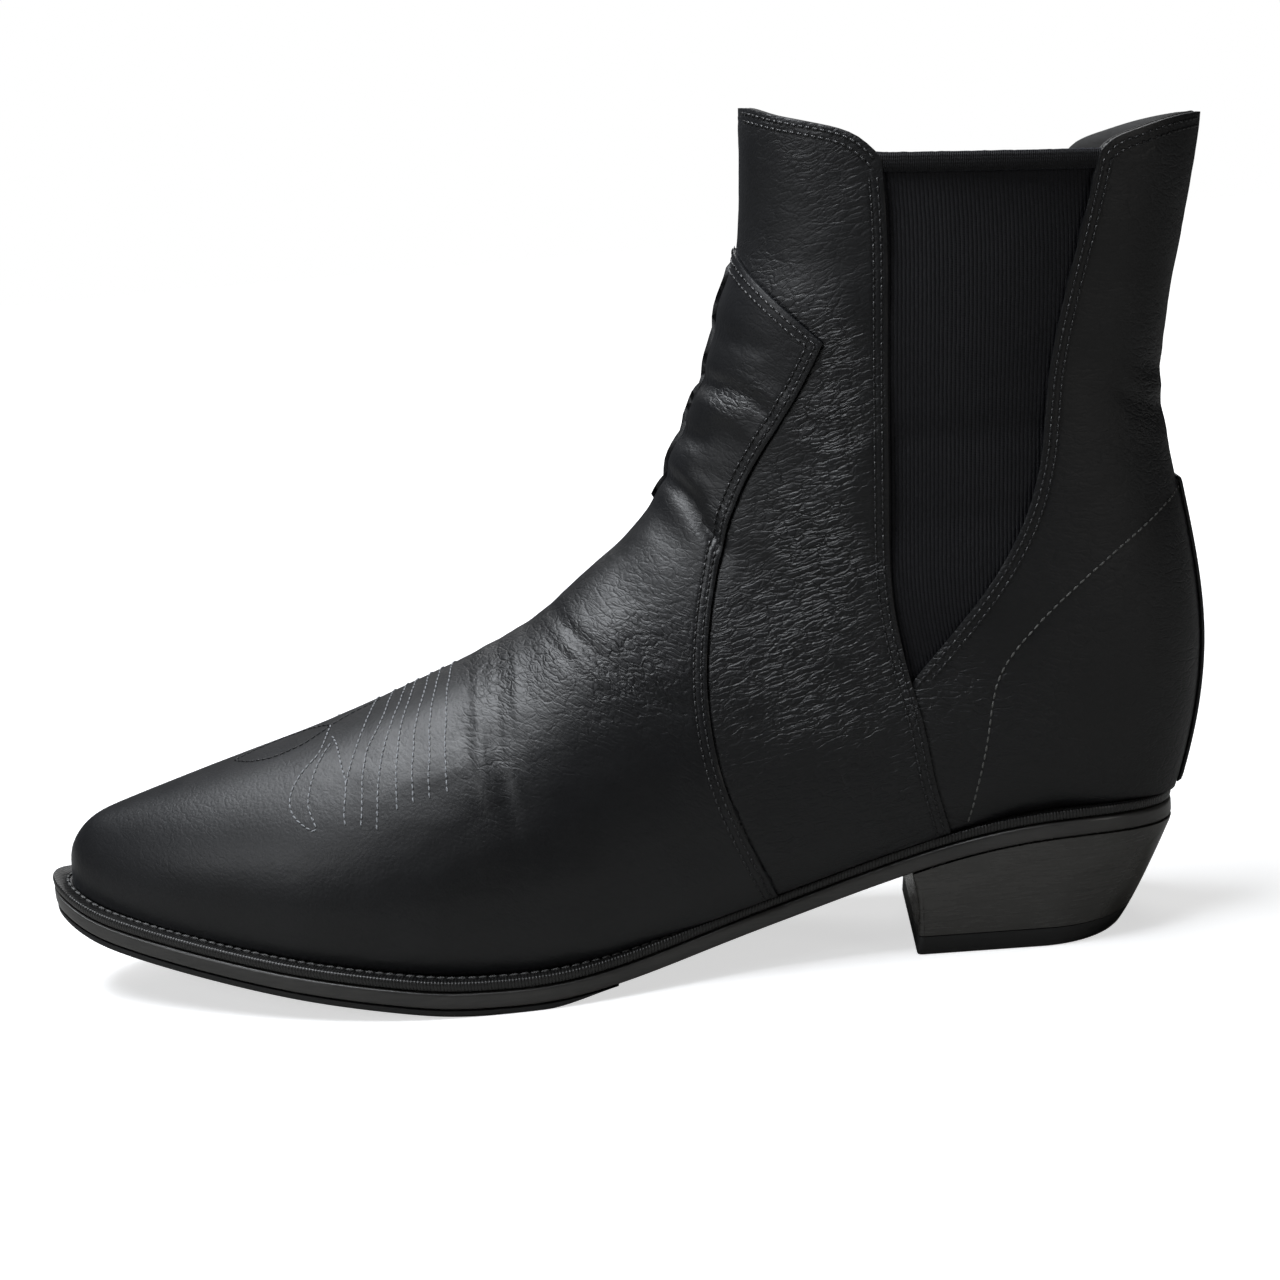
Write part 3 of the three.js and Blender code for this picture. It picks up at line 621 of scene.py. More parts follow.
def rampOf(tree, fac, stops):
    node = tree.nodes.new("ShaderNodeValToRGB")
    tree.links.new(fac, node.inputs[0])
    ends = node.color_ramp.elements
    while len(ends) < len(stops):
        ends.new(0.5)
    for e, (place, value) in zip(ends, stops):
        e.position = place
        e.color = (*value, 1) if isinstance(value, tuple) else (value, value, value, 1)
    return node.outputs[0]


def mathNode(tree, operation, a, b=0.0, clamp=False):
    return addNode(tree, "Math", {"operation": operation, "use_clamp": clamp}, i0=a, i1=b).outputs[0]


def mixColour(tree, fac, a, b):
    node = tree.nodes.new("ShaderNodeMix")
    node.data_type = "RGBA"
    for socket, value in zip((node.inputs[0], node.inputs[6], node.inputs[7]), (fac, a, b)):
        if isinstance(value, bpy.types.NodeSocket):
            tree.links.new(value, socket)
        else:
            socket.default_value = value
    return node.outputs[2]


def makeGrainGroup():  # calf grain: fine pebble, pores and soft creases, as height and wear, and a mask of painted shade for the crease valleys
    group, inputs, output = newGroup("calfGrain", [("Height", "Float"), ("CreaseShade", "Float"), ("Patch", "Float")],
                                     [("Place", "Vector", (0, 0, 0)), ("Creases", "Float", 0.5),
                                      ("Turn", "Vector", (0, 0, 0))])
    place = inputs.outputs["Place"]
    pebble = addNode(group, "TexVoronoi", {"feature": "F1"}, Vector=place, Scale=1050.0, Randomness=1.0)
    fine = addNode(group, "TexNoise", Vector=place, Scale=2600.0, Detail=3.0, Roughness=0.6)
    turned = addNode(group, "VectorRotate", {"rotation_type": "EULER_XYZ"}, Vector=place,
                     Rotation=inputs.outputs["Turn"])
    stretched = addNode(group, "Mapping", Vector=turned.outputs[0], Scale=(0.3, 0.5, 1.0))
    wobble = addNode(group, "TexNoise", Vector=place, Scale=210.0, Detail=2.0)
    moved = addNode(group, "VectorMath", {"operation": "MULTIPLY_ADD"}, i0=wobble.outputs["Color"],
                    i1=(0.0022, 0.0022, 0.0022), i2=stretched.outputs[0])
    crease = addNode(group, "TexVoronoi", {"feature": "DISTANCE_TO_EDGE"}, Vector=moved.outputs[0], Scale=430.0,
                     Randomness=1.0)
    creaseLine = rampOf(group, crease.outputs["Distance"], [(0.0, 0.0), (0.13, 0.8), (0.5, 1.0)])
    small = addNode(group, "TexVoronoi", {"feature": "DISTANCE_TO_EDGE"}, Vector=moved.outputs[0], Scale=880.0,
                    Randomness=1.0)
    smallLine = rampOf(group, small.outputs["Distance"], [(0.0, 0.0), (0.16, 0.8), (0.5, 1.0)])
    patch = addNode(group, "TexNoise", Vector=place, Scale=38.0, Detail=2.0, Roughness=0.5)
    strength = mathNode(group, "MULTIPLY", inputs.outputs["Creases"],
                        rampOf(group, patch.outputs["Fac"], [(0.36, 0.25), (0.62, 1.0)]))
    lines = mathNode(group, "ADD", mathNode(group, "MULTIPLY", creaseLine, 0.62),
                     mathNode(group, "MULTIPLY", smallLine, 0.38))
    deep = mathNode(group, "MULTIPLY", lines, strength)
    grain = mathNode(group, "ADD", mathNode(group, "MULTIPLY", pebble.outputs["Distance"], -0.07),
                     mathNode(group, "MULTIPLY", fine.outputs["Fac"], 0.06))
    group.links.new(mathNode(group, "ADD", deep, grain), output.inputs["Height"])
    # the crease valleys, as a mask for painted shade in the leather's colour
    creaseShadeMask = mathNode(group, "MULTIPLY", mathNode(group, "SUBTRACT", 1.0, lines), strength)
    group.links.new(creaseShadeMask, output.inputs["CreaseShade"])
    group.links.new(patch.outputs["Fac"], output.inputs["Patch"])
    return group


grainGroup = makeGrainGroup()


def startMaterial(name, **settings):
    material = bpy.data.materials.new(name)
    material.use_nodes = True
    tree = material.node_tree
    shader = tree.nodes["Principled BSDF"]
    for key, value in settings.items():
        shader.inputs[key.replace("_", " ")].default_value = value
    place = tree.nodes.new("ShaderNodeTexCoord").outputs["Object"]
    return material, tree, shader, place


def spreadRough(tree, shader, source, spread, low):  # roughness that follows a texture
    rough = mathNode(tree, "ADD", mathNode(tree, "MULTIPLY", source, spread), low)
    tree.links.new(rough, shader.inputs["Roughness"])


def addBump(tree, shader, height, strength, distance):
    bump = addNode(tree, "Bump", Strength=strength, Distance=distance, Height=height)
    tree.links.new(bump.outputs[0], shader.inputs["Normal"])


def addGrain(tree, place):
    grain = tree.nodes.new("ShaderNodeGroup")
    grain.node_tree = grainGroup
    tree.links.new(place, grain.inputs["Place"])
    return grain


def makeLeather(name, look):
    material, tree, shader, place = startMaterial(
        name, Specular_IOR_Level=look["shine"], Coat_Roughness=look["coatRough"], Sheen_Weight=look["sheen"],
        Sheen_Roughness=0.45, Sheen_Tint=(0.62, 0.68, 0.8, 1), Coat_Weight=look["coat"])
    grain = addGrain(tree, place)
    grain.inputs["Turn"].default_value = tuple(math.radians(a) for a in look["turn"])
    crease = addNode(tree, "Attribute", {"attribute_name": "creasing"}).outputs["Fac"]
    tree.links.new(mathNode(tree, "ADD", crease, look["creases"]), grain.inputs["Creases"])
    wear = rampOf(tree, grain.outputs["Patch"], [(0.3, look["dark"]), (0.7, look["light"])])
    # the crease valleys are painted darker, towards the deep colour: painted shade
    colour = mixColour(tree, mathNode(tree, "MULTIPLY", grain.outputs["CreaseShade"], 0.55, True), wear, (*look["deep"], 1))
    tree.links.new(colour, shader.inputs["Base Color"])
    dust = addNode(tree, "TexNoise", Vector=place, Scale=95.0, Detail=5.0, Roughness=0.65).outputs["Fac"]
    spreadRough(tree, shader, dust, 0.16, look["rough"])
    addBump(tree, shader, grain.outputs["Height"], look["bump"], 0.0007)
    return material


# deep is the colour of the painted shade in the crease valleys
leatherLook = {"dark": (0.004, 0.0042, 0.005), "light": (0.007, 0.0074, 0.0088), "deep": (0.0025, 0.0025, 0.003),
               "rough": 0.36, "shine": 0.5, "coat": 0.08, "coatRough": 0.25, "sheen": 0.02, "creases": 0.4,
               "bump": 0.85, "turn": (0, 0, 0)}
vampLeather = makeLeather("vampCalf", {**leatherLook, "creases": 0.06, "bump": 0.7, "turn": (0, 32, 0)})
frontLeather = makeLeather("frontCalf", {**leatherLook, "creases": 0.32, "rough": 0.4, "bump": 0.8,
                                         "turn": (0, -14, 0)})
quarterLeather = makeLeather("quarterCalf", {**leatherLook, "creases": 0.25, "rough": 0.44, "turn": (0, 8, 0)})


def makeLining():
    material, tree, shader, place = startMaterial("glovedLining", Specular_IOR_Level=0.4)
    grain = addGrain(tree, place)
    grain.inputs["Creases"].default_value = 0.25
    tree.links.new(rampOf(tree, grain.outputs["Patch"], [(0.3, (0.011, 0.0105, 0.01)), (0.7, (0.02, 0.019, 0.018))]),
                   shader.inputs["Base Color"])
    spreadRough(tree, shader, grain.outputs["Patch"], 0.2, 0.5)
    addBump(tree, shader, grain.outputs["Height"], 0.5, 0.0002)
    return material


liningLeather = makeLining()


def stripes(tree, along, spacing):  # rounded ridges at an even spacing
    return mathNode(tree, "ABSOLUTE", mathNode(tree, "SINE", mathNode(tree, "MULTIPLY", along, math.pi / spacing)))


def makeElastic(name, look):  # woven elastic: ribs run up the gore, crossed by fine weft; the rib crests are painted lighter and the grooves darker, a painted highlight and shade
    material, tree, shader, place = startMaterial(name, Specular_IOR_Level=look["shine"], Sheen_Weight=look["sheen"],
                                                  Sheen_Roughness=0.4, Sheen_Tint=(0.45, 0.47, 0.72, 1))
    uv = addNode(tree, "UVMap", {"uv_map": "along"}).outputs[0]
    parts = addNode(tree, "SeparateXYZ", Vector=uv)
    across, up = parts.outputs[0], parts.outputs[1]
    wobble = addNode(tree, "TexNoise", Vector=place, Scale=300.0, Detail=2.0).outputs["Fac"]
    acrossLoose = mathNode(tree, "ADD", across, mathNode(tree, "MULTIPLY", wobble, look["loose"]))
    ribs = mathNode(tree, "POWER", stripes(tree, acrossLoose, look["rib"]), 0.6)
    thread = mathNode(tree, "ADD", mathNode(tree, "MULTIPLY", ribs, 0.75),
                      mathNode(tree, "MULTIPLY", stripes(tree, up, look["weft"]), 0.25))
    patch = addNode(tree, "TexNoise", Vector=place, Scale=60.0, Detail=4.0).outputs["Fac"]
    # colour follows the weave's height: painted highlight on the rib crests, painted shade in the grooves
    base = rampOf(tree, thread, [(0.1, look["dark"]), (0.95, look["light"])])
    tree.links.new(mixColour(tree, mathNode(tree, "MULTIPLY", patch, 0.4, True), base, (*look["mid"], 1)),
                   shader.inputs["Base Color"])
    spreadRough(tree, shader, patch, 0.2, look["rough"])
    addBump(tree, shader, thread, 0.85, 0.00035)
    return material


# light is the painted highlight on the rib crests, dark the painted shade in the grooves, mid the even tone of the
# weave
elasticLook = {"dark": (0.0012, 0.0012, 0.0015), "light": (0.007, 0.007, 0.0105), "mid": (0.003, 0.003, 0.0045),
               "rough": 0.55, "shine": 0.3, "sheen": 0.05, "rib": 1.05, "weft": 0.42, "loose": 0.35}
goreWeave = makeElastic("goreWeave", elasticLook)
bindingWeave = makeElastic("bindingTape", {**elasticLook, "rib": 0.5, "weft": 0.9, "light": (0.01, 0.01, 0.011),
                                           "sheen": 0.1, "rough": 0.62})


def makeThread(name, dark, light, rough):
    material, tree, shader, place = startMaterial(name, Specular_IOR_Level=0.6)
    twist = addNode(tree, "TexWave", {"wave_type": "BANDS", "bands_direction": "DIAGONAL"}, Vector=place, Scale=1500.0,
                    Distortion=1.0)
    tree.links.new(rampOf(tree, twist.outputs["Fac"], [(0.2, dark), (0.8, light)]), shader.inputs["Base Color"])
    spreadRough(tree, shader, twist.outputs["Fac"], 0.15, rough)
    addBump(tree, shader, twist.outputs["Fac"], 0.6, 0.0001)
    return material


blackThread = makeThread("blackThread", (0.006, 0.006, 0.007), (0.02, 0.02, 0.022), 0.26)
greyThread = makeThread("greyThread", (0.2, 0.21, 0.225), (0.36, 0.37, 0.39), 0.45)
dimThread = makeThread("dimThread", (0.08, 0.082, 0.078), (0.17, 0.17, 0.162), 0.45)
weltThread = makeThread("weltThread", (0.04, 0.04, 0.04), (0.09, 0.09, 0.088), 0.36)


def makeEdge(name, look):  # burnished and waxed leather edge: fine fibre streaks under polish
    material, tree, shader, place = startMaterial(name, Specular_IOR_Level=look["shine"], Coat_Weight=look["coat"],
                                                  Coat_Roughness=look["coatRough"])
    flat = addNode(tree, "Mapping", Vector=place, Scale=(0.35, 0.35, look["layer"]))
    fibre = addNode(tree, "TexNoise", Vector=flat.outputs[0], Scale=420.0, Detail=5.0, Roughness=0.6).outputs["Fac"]
    patch = addNode(tree, "TexNoise", Vector=place, Scale=45.0, Detail=3.0).outputs["Fac"]
    tone = mathNode(tree, "ADD", mathNode(tree, "MULTIPLY", fibre, 0.5), mathNode(tree, "MULTIPLY", patch, 0.5))
    tree.links.new(rampOf(tree, tone, [(0.35, look["dark"]), (0.65, look["light"])]), shader.inputs["Base Color"])
    spreadRough(tree, shader, tone, look["roughSpread"], look["rough"])
    height = fibre
    if look.get("notch"):
        uv = addNode(tree, "UVMap", {"uv_map": "along"}).outputs[0]
        run = addNode(tree, "SeparateXYZ", Vector=uv).outputs[0]
        height = mathNode(tree, "ADD", mathNode(tree, "POWER", stripes(tree, run, look["notch"]), 0.5),
                          mathNode(tree, "MULTIPLY", fibre, 0.12))
    addBump(tree, shader, height, look["bump"], look["depth"])
    return material


edgeLook = {"dark": (0.009, 0.0085, 0.008), "light": (0.017, 0.016, 0.015), "rough": 0.26, "roughSpread": 0.2,
            "shine": 0.55, "coat": 0.25, "coatRough": 0.25, "layer": 3.0, "bump": 0.35, "depth": 0.0002}
weltLeather = makeEdge("weltLeather", {**edgeLook, "dark": (0.006, 0.006, 0.006), "light": (0.014, 0.0135, 0.013),
                                       "notch": 0.85, "bump": 1.0, "depth": 0.00035, "rough": 0.3})
# the sole edge and the heel lifts get a brownish black far lighter than the upper's leather: partly their own tone,
# partly a painted reflection of the floor on their upright faces
soleEdge = makeEdge("soleEdge", {**edgeLook, "dark": (0.034, 0.033, 0.032), "light": (0.06, 0.058, 0.055)})
heelStack = makeEdge("heelStack", {**edgeLook, "dark": (0.036, 0.035, 0.032), "light": (0.056, 0.054, 0.05),
                                   "rough": 0.2, "roughSpread": 0.14, "bump": 0.12, "coat": 0.4})
rubberSole = makeEdge("rubberSole", {**edgeLook, "dark": (0.007, 0.007, 0.0072), "light": (0.012, 0.012, 0.0122),
                                     "rough": 0.48, "coat": 0.0, "layer": 1.0, "bump": 0.5})


def makePlain(name, dark, light, size, rough, metallic=0.0, depth=0.0002, coarse=False):
    material, tree, shader, place = startMaterial(name, Metallic=metallic)
    if coarse:
        source = addNode(tree, "TexVoronoi", {"feature": "F1"}, Vector=place, Scale=size).outputs["Distance"]
    else:
        source = addNode(tree, "TexNoise", Vector=place, Scale=size, Detail=6.0, Roughness=0.65).outputs["Fac"]
    tree.links.new(rampOf(tree, source, [(0.3, dark), (0.7, light)]), shader.inputs["Base Color"])
    spreadRough(tree, shader, source, 0.2, rough)
    addBump(tree, shader, source, 0.5, depth)
    return material


stiffBoard = makePlain("stiffBoard", (0.16, 0.13, 0.09), (0.3, 0.25, 0.18), 700.0, 0.7)
corkPaste = makePlain("corkPaste", (0.1, 0.05, 0.022), (0.32, 0.19, 0.1), 520.0, 0.75, coarse=True)
springSteel = makePlain("springSteel", (0.3, 0.3, 0.31), (0.5, 0.5, 0.5), 900.0, 0.25, 1.0, 0.00005)
tannedLeather = makePlain("tannedLeather", (0.2, 0.12, 0.06), (0.34, 0.22, 0.12), 350.0, 0.55)
print("materials ready")

# finishes of the parts kept from the frame
keptFinishes = {
    "heel_counter": stiffBoard, "toe_puff": stiffBoard, "cork_filler": corkPaste, "shank": springSteel,
    "insole": tannedLeather, "insole_rib": tannedLeather,
}
for name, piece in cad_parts.items():
    finish = keptFinishes.get(name)
    if name.startswith(("heel_nail", "top_piece_pin")):
        finish = springSteel
    if finish:
        for slot in piece.material_slots:
            slot.material = finish

# vamp: one sheet from the toe tip to the peak on the instep
vampSettings = {"footColumns": 150, "instepColumns": 82, "rows": 84}


def patchBetween(left, right, bottom, top, zones=(0.4, 0.4)):  # a patch inside four lines; rows run left to right
    v = np.linspace(0, 1, len(left))[None, :, None]
    h = np.linspace(0, 1, len(bottom))[:, None, None]
    out = (1 - h) * left[None] + h * right[None]
    bend = [end[:, None] - (1 - h) * end[0] - h * end[-1] for end in (bottom, top)]
    return out + smoothStep(zones[0], 0, v) * bend[0] + smoothStep(1 - zones[1], 1, v) * bend[1]


vampFootU = sideLine[-1, 0]
peakU = topLine[0, 0]
footRow = np.array([[u, 0.0] for u in np.linspace(0, vampFootU, 200)])
footLine = joinedLine([footRow], [vampSettings["footColumns"]])
evenEdge = np.column_stack([footLine[:, 0], featherAngle(footLine[:, 0])])
sideEdge = joinedLine([sideLine[::-1]], [vampSettings["instepColumns"]])[1:]
edgeLine = np.vstack([evenEdge, sideEdge])
climb = smoothStep(0.35, 1, np.linspace(0, 1, len(sideEdge)))
instepU = sideEdge[:, 0] + (peakU - sideEdge[-1, 0]) * climb
frontLine = np.vstack([footLine, np.column_stack([np.maximum.accumulate(instepU), np.zeros(len(sideEdge))])])
acrossRows = np.linspace(0, 1, vampSettings["rows"] + 1)
toeRow = np.column_stack([np.zeros(len(acrossRows)), acrossRows * featherAngle(0.0)])
vampPatch = patchBetween(frontLine, edgeLine, toeRow, alongLine(topLine, acrossRows))
makeSheet("vampSheet", halvesToWhole(vampPatch[..., 0], vampPatch[..., 1]), vampHeight, vampLeather, ["vamp"],
          **leatherSheet)
print("vamp made")

# front panel: from under the vamp up to the collar, between the gores
frontSettings = {"topColumns": 24, "goreColumns": 62, "seamColumns": 30, "aboveEar": 20, "rows": 84, "underlap": 6.0}
upperLine = joinedLine(frontEdge, [frontSettings[key] for key in ("topColumns", "goreColumns", "seamColumns")])
earColumn = frontSettings["topColumns"] + frontSettings["aboveEar"]  # the column that ends at the vamp's ear
lowerCounts = [earColumn, len(upperLine) - 1 - earColumn]
lowerLine = joinedLine([topLine, sideLine], lowerCounts)
middle = 0.5 * (lengthOf(np.vstack([lowerLine[40], upperLine[40]])) + 50)
start = -frontSettings["underlap"] / middle
frontU, frontAngles = betweenLines(lowerLine, upperLine, easedRows(frontSettings["rows"], start, 0.2))
makeSheet("frontSheet", halvesToWhole(frontU, np.maximum(frontAngles, 0)), frontHeight, frontLeather, ["front_panel"],
          **leatherSheet)
print("front panel made")

# rear quarters: one each side, meeting at the back line
quarterSettings = {"seamRows": 30, "goreRows": 66, "columns": 92, "underlap": 5.0}
under = sideCurves["sideSeam"].copy()
under[:, 0] += quarterSettings["underlap"] * smoothStep(0, 9, runAlong(under))
quarterSeam = trimmed(onSide(under))
frontSide = joinedLine([quarterSeam[::-1], goreRearLine], [quarterSettings["seamRows"], quarterSettings["goreRows"]])
seamBottom = quarterSeam[-1]
backTop = collarRearLine[-1]
heelBackU = sampleU[np.argmax((edgeAngles > 3.13) & (sampleU > 0.5 * lastEnd))]  # lower back corner of the heel
bottomU = np.linspace(seamBottom[0], heelBackU, 900)
columnsAt = np.linspace(0, 1, quarterSettings["columns"] + 1)
bottomRow = alongLine(np.column_stack([bottomU, featherAngle(bottomU)]), columnsAt)
backLine = alongLine(np.array([[u, math.pi] for u in np.linspace(heelBackU, backTop[0], 300)]),
                     np.linspace(0, 1, quarterSettings["seamRows"] + quarterSettings["goreRows"] + 1))
topRow = alongLine(collarRearLine, columnsAt)


def quarterPatch(front, back, bottom, top):
    out = patchBetween(front, back, bottom, top, (0.5, 0.5))
    return out[..., 0], np.minimum(out[..., 1], featherAngle(out[..., 0]))


quarterU, quarterAngles = quarterPatch(frontSide, backLine, bottomRow, topRow)
eachSide("quarterSheet_", quarterU, quarterAngles, quarterHeight, quarterLeather, "rear_quarter_", **leatherSheet)
print("rear quarters made")

# elastic gores
goreSettings = {"rows": 120, "columns": 60, "depth": -1.45, "wall": 1.0, "frontLap": (4.5, 0.5), "rearLap": (-3.4, -2.6)}
goreFrontWide = trimmed(onSide(sideCurves["goreFront"] + goreSettings["frontLap"]))
goreRearWide = trimmed(onSide(sideCurves["goreRear"] + goreSettings["rearLap"])[::-1])[::-1]


def goreHeight(points):
    z = points[..., 2]
    slack = 0.5 * np.sin(z / 11.5) * smoothStep(206, 196, z) * smoothStep(80, 110, z)
    slack = slack - 0.55 * np.exp(-(((z - 138) / 4.0) ** 2)) - 0.45 * np.exp(-(((z - 116) / 5.0) ** 2))
    return slack * 0.8 - 0.45 * smoothStep(98, 78, z)


goreRows = np.linspace(0, 1, goreSettings["rows"] + 1)
leftLine = alongLine(goreFrontWide[::-1], goreRows)
rightLine = alongLine(goreRearWide, goreRows)
goreU, goreAngles = betweenLines(leftLine, rightLine, np.linspace(0, 1, goreSettings["columns"] + 1))
gorePlaces = skinPoint(goreU, goreAngles)
frontGap = np.linalg.norm(gorePlaces - gorePlaces[:, :1], axis=-1)
goreUV = np.stack([frontGap, gorePlaces[..., 2]], axis=-1)
eachSide("goreSheet_", goreU, goreAngles, goreHeight, goreWeave, "gore_", drop=goreSettings["depth"],
         wall=goreSettings["wall"], slot="gore_elastic", uvs=goreUV)

# tape folded over the top of each gore
tapeSettings = {"columns": 70, "length": 54, "lift": 0.35, "fuzz": 0.12}
tapeFront, tapeRear = onSide([[-37.5, 208.6], [-93.6, 204.6]])
rise, reach = np.array([(-4.4, 0.12), (-4.2, 0.45), (-2.2, 0.55), (-0.6, 0.5), (0.15, 0.2), (0.45, -0.5), (0.45, -1.2),
                        (0.1, -1.75), (-0.8, -2.0), (-2.4, -2.05), (-4.3, -2.0), (-4.4, -1.6)]).T[..., None]
tapeLine = tapeFront + (tapeRear - tapeFront) * np.linspace(0, 1, tapeSettings["columns"] + 1)[:, None]
upSlope = skinSlopes(tapeLine[:, 0], tapeLine[:, 1])[0]
upSlope = upSlope / np.linalg.norm(upSlope, axis=1)[:, None]
for name, side in (("lateral", 1), ("medial", -1)):
    base = onSkin(tapeLine, side)[:, None]
    out = skinNormal(tapeLine[:, 0], tapeLine[:, 1] * side)[:, None]
    up = (upSlope * [1, side, 1])[:, None]
    fuzz = tapeSettings["fuzz"] * noiseAt(base, 0.9, 2.0)[..., None]
    points = base + up * (rise + fuzz) + out * (reach + goreSettings["depth"] + tapeSettings["lift"])
    middle = base - 2 * up - 2 * out
    run = np.linspace(0, tapeSettings["length"], len(base))[:, None]
    bm = gridPiece(points, points - middle, np.stack(np.broadcast_arrays(run, rise.T), axis=-1))
    finishPiece("goreTape_" + name, bm, bindingWeave, replaced=["gore_binding_" + name], slot="gore_elastic")
print("gores made")

# linings
liningDepth = {"deep": -2.75, "collar": -1.25}
liningSheet = {"wall": 0.9, "slot": "lining_leather"}


def liningHeight(points):
    edge = np.minimum(distanceTo(points, collarPoints["front"]), distanceTo(points, collarPoints["rear"]))
    rise = (liningDepth["collar"] - liningDepth["deep"]) * np.exp(-edge / 3.0)
    return 0.9 * relief(points) + liningDepth["deep"] + rise


thin = vampPatch[::3, ::3]
makeSheet("vampLining", halvesToWhole(np.maximum(thin[..., 0], 0.9), thin[..., 1]), liningHeight, liningLeather,
          ["vamp_lining"], **liningSheet)
upper = joinedLine(frontEdge, [20, 40, 20])
lower = joinedLine([topLine, sideLine], [33, 47])
u, s = betweenLines(lower, upper, np.linspace(0.01, 0.995, 61))
makeSheet("frontLining", halvesToWhole(u, np.maximum(s, 0)), liningHeight, liningLeather, ["front_lining"],
          edge=0.2, **liningSheet)
left = joinedLine([cutLines["sideSeam"][::-1], goreRearLine], [16, 44])
u, s = quarterPatch(left, *(alongLine(line, np.linspace(0, 1, 61)) for line in (backLine, bottomRow, topRow)))
eachSide("quarterLining_", u, s, liningHeight, liningLeather, "quarter_lining_", edge=0.2, **liningSheet)
print("linings made")


# sole outline: the feather from above, grown by the reach of the welt
featherWidths = np.array([
    [196.4, 3.6, 3.6], [194.4, 6.9, 7.1], [190, 11.4, 12.0], [181, 17.6, 18.8], [166, 25.4, 27.8], [146, 33.6, 37.4],
    [122, 41.2, 45.4], [100, 45, 49.8], [86, 45.4, 50.6], [72, 44.6, 48.4], [56, 42.4, 43.2], [38, 38, 36],
    [17, 32.6, 30.2], [-5, 29, 27.6], [-24, 27.8, 27.4], [-45, 28.4, 28.4], [-66, 29.4, 29.4], [-79, 28.6, 28.6],
    [-88, 25.9, 25.9], [-95.5, 21.2, 21.2], [-101.5, 14.6, 14.6], [-104.8, 7.6, 7.6],
])
outerEdge = featherWidths[:, [0, 1]]
innerEdge = featherWidths[::-1][:, [0, 2]] * [1, -1]
oneRound = np.vstack([[[197.2, 0]], outerEdge, [[-106.0, 0]], innerEdge])
wrapped = np.vstack([oneRound[-4:], oneRound, oneRound[:5]])
gaps = runAlong(wrapped, rooted=True)
closedCurve = splineThrough(gaps, wrapped)(np.linspace(gaps[4], gaps[4 + len(oneRound)], 6000))
soleSettings = {"step": 0.62, "welt": 2.8, "outsole": 4.4, "halfSole": 1.8, "skive": 20.0, "gap": 0.3, "ground": -0.15}
featherOutline = evenly(closedCurve, soleSettings["step"])[:-1]


def reachAt(x):
    return 2.6 + 2.9 * smoothStep(0, 70, x) - 1.0 * smoothStep(20, 50, -x)


outlineTurn = np.roll(featherOutline, -1, axis=0) - np.roll(featherOutline, 1, axis=0)
outlineOut = np.stack([outlineTurn[:, 1], -outlineTurn[:, 0]], axis=1)
if (outlineOut * (featherOutline - [40, 0])).sum() < 0:
    outlineOut = -outlineOut
outlineOut = outlineOut / np.linalg.norm(outlineOut, axis=1)[:, None]
for _ in range(6):
    outlineOut = outlineOut + 0.5 * (np.roll(outlineOut, 1, axis=0) + np.roll(outlineOut, -1, axis=0))
    outlineOut = outlineOut / np.linalg.norm(outlineOut, axis=1)[:, None]
outlineRun = runAlong(featherOutline)


def outlineLoop(inset):  # inset is measured in from the sole's edge; numbers or one value per point
    reach = reachAt(featherOutline[:, 0]) - inset
    return featherOutline + outlineOut * np.asarray(reach)[..., None]


def soleLoop(inset, drop, flatten=None, frontOf=None, squeeze=1.0):
    xy = outlineLoop(inset)
    if frontOf is not None:
        xy[:, 0] = np.maximum(xy[:, 0], frontOf)
    z = featherHeight(xy[:, 0]) - drop
    if flatten is not None:
        z = np.maximum(z, flatten)
    return np.column_stack([xy[:, 0], xy[:, 1] * squeeze, z])


def loopPiece(name, loops, material, slot, replaced, ringClosed=False):  # a capped stack of loops, or a closed ring
    stack = np.array(loops)
    if ringClosed:
        stack = np.vstack([stack, stack[:1]])
    stack = np.concatenate([stack, stack[:, :1]], axis=1).transpose(1, 0, 2)
    outward = stack - stack.mean(axis=(0, 1))
    if ringClosed:
        outward = stack - stack[:, :-1].mean(axis=1, keepdims=True)
    run = np.append(outlineRun, outlineRun[-1] + soleSettings["step"]) if len(stack) == len(outlineRun) + 1 else (
        np.linspace(0, 220, len(stack)))
    uv = np.stack(np.broadcast_arrays(run[:, None], np.arange(stack.shape[1])[None] * 1.0), axis=-1)
    bm = gridPiece(stack, outward, uv, weld=0.01)
    if not ringClosed:
        edges = [e for e in bm.edges if e.is_boundary]
        bmesh.ops.triangle_fill(bm, use_beauty=True, use_dissolve=False, edges=edges)
        bmesh.ops.recalc_face_normals(bm, faces=bm.faces)
    bmesh.ops.dissolve_degenerate(bm, dist=0.000002, edges=bm.edges)
    for e in bm.edges:
        if len(e.link_faces) == 2 and e.calc_face_angle(0) > math.radians(42):
            e.smooth = False
    finishPiece(name, bm, material, replaced=replaced, slot=slot)


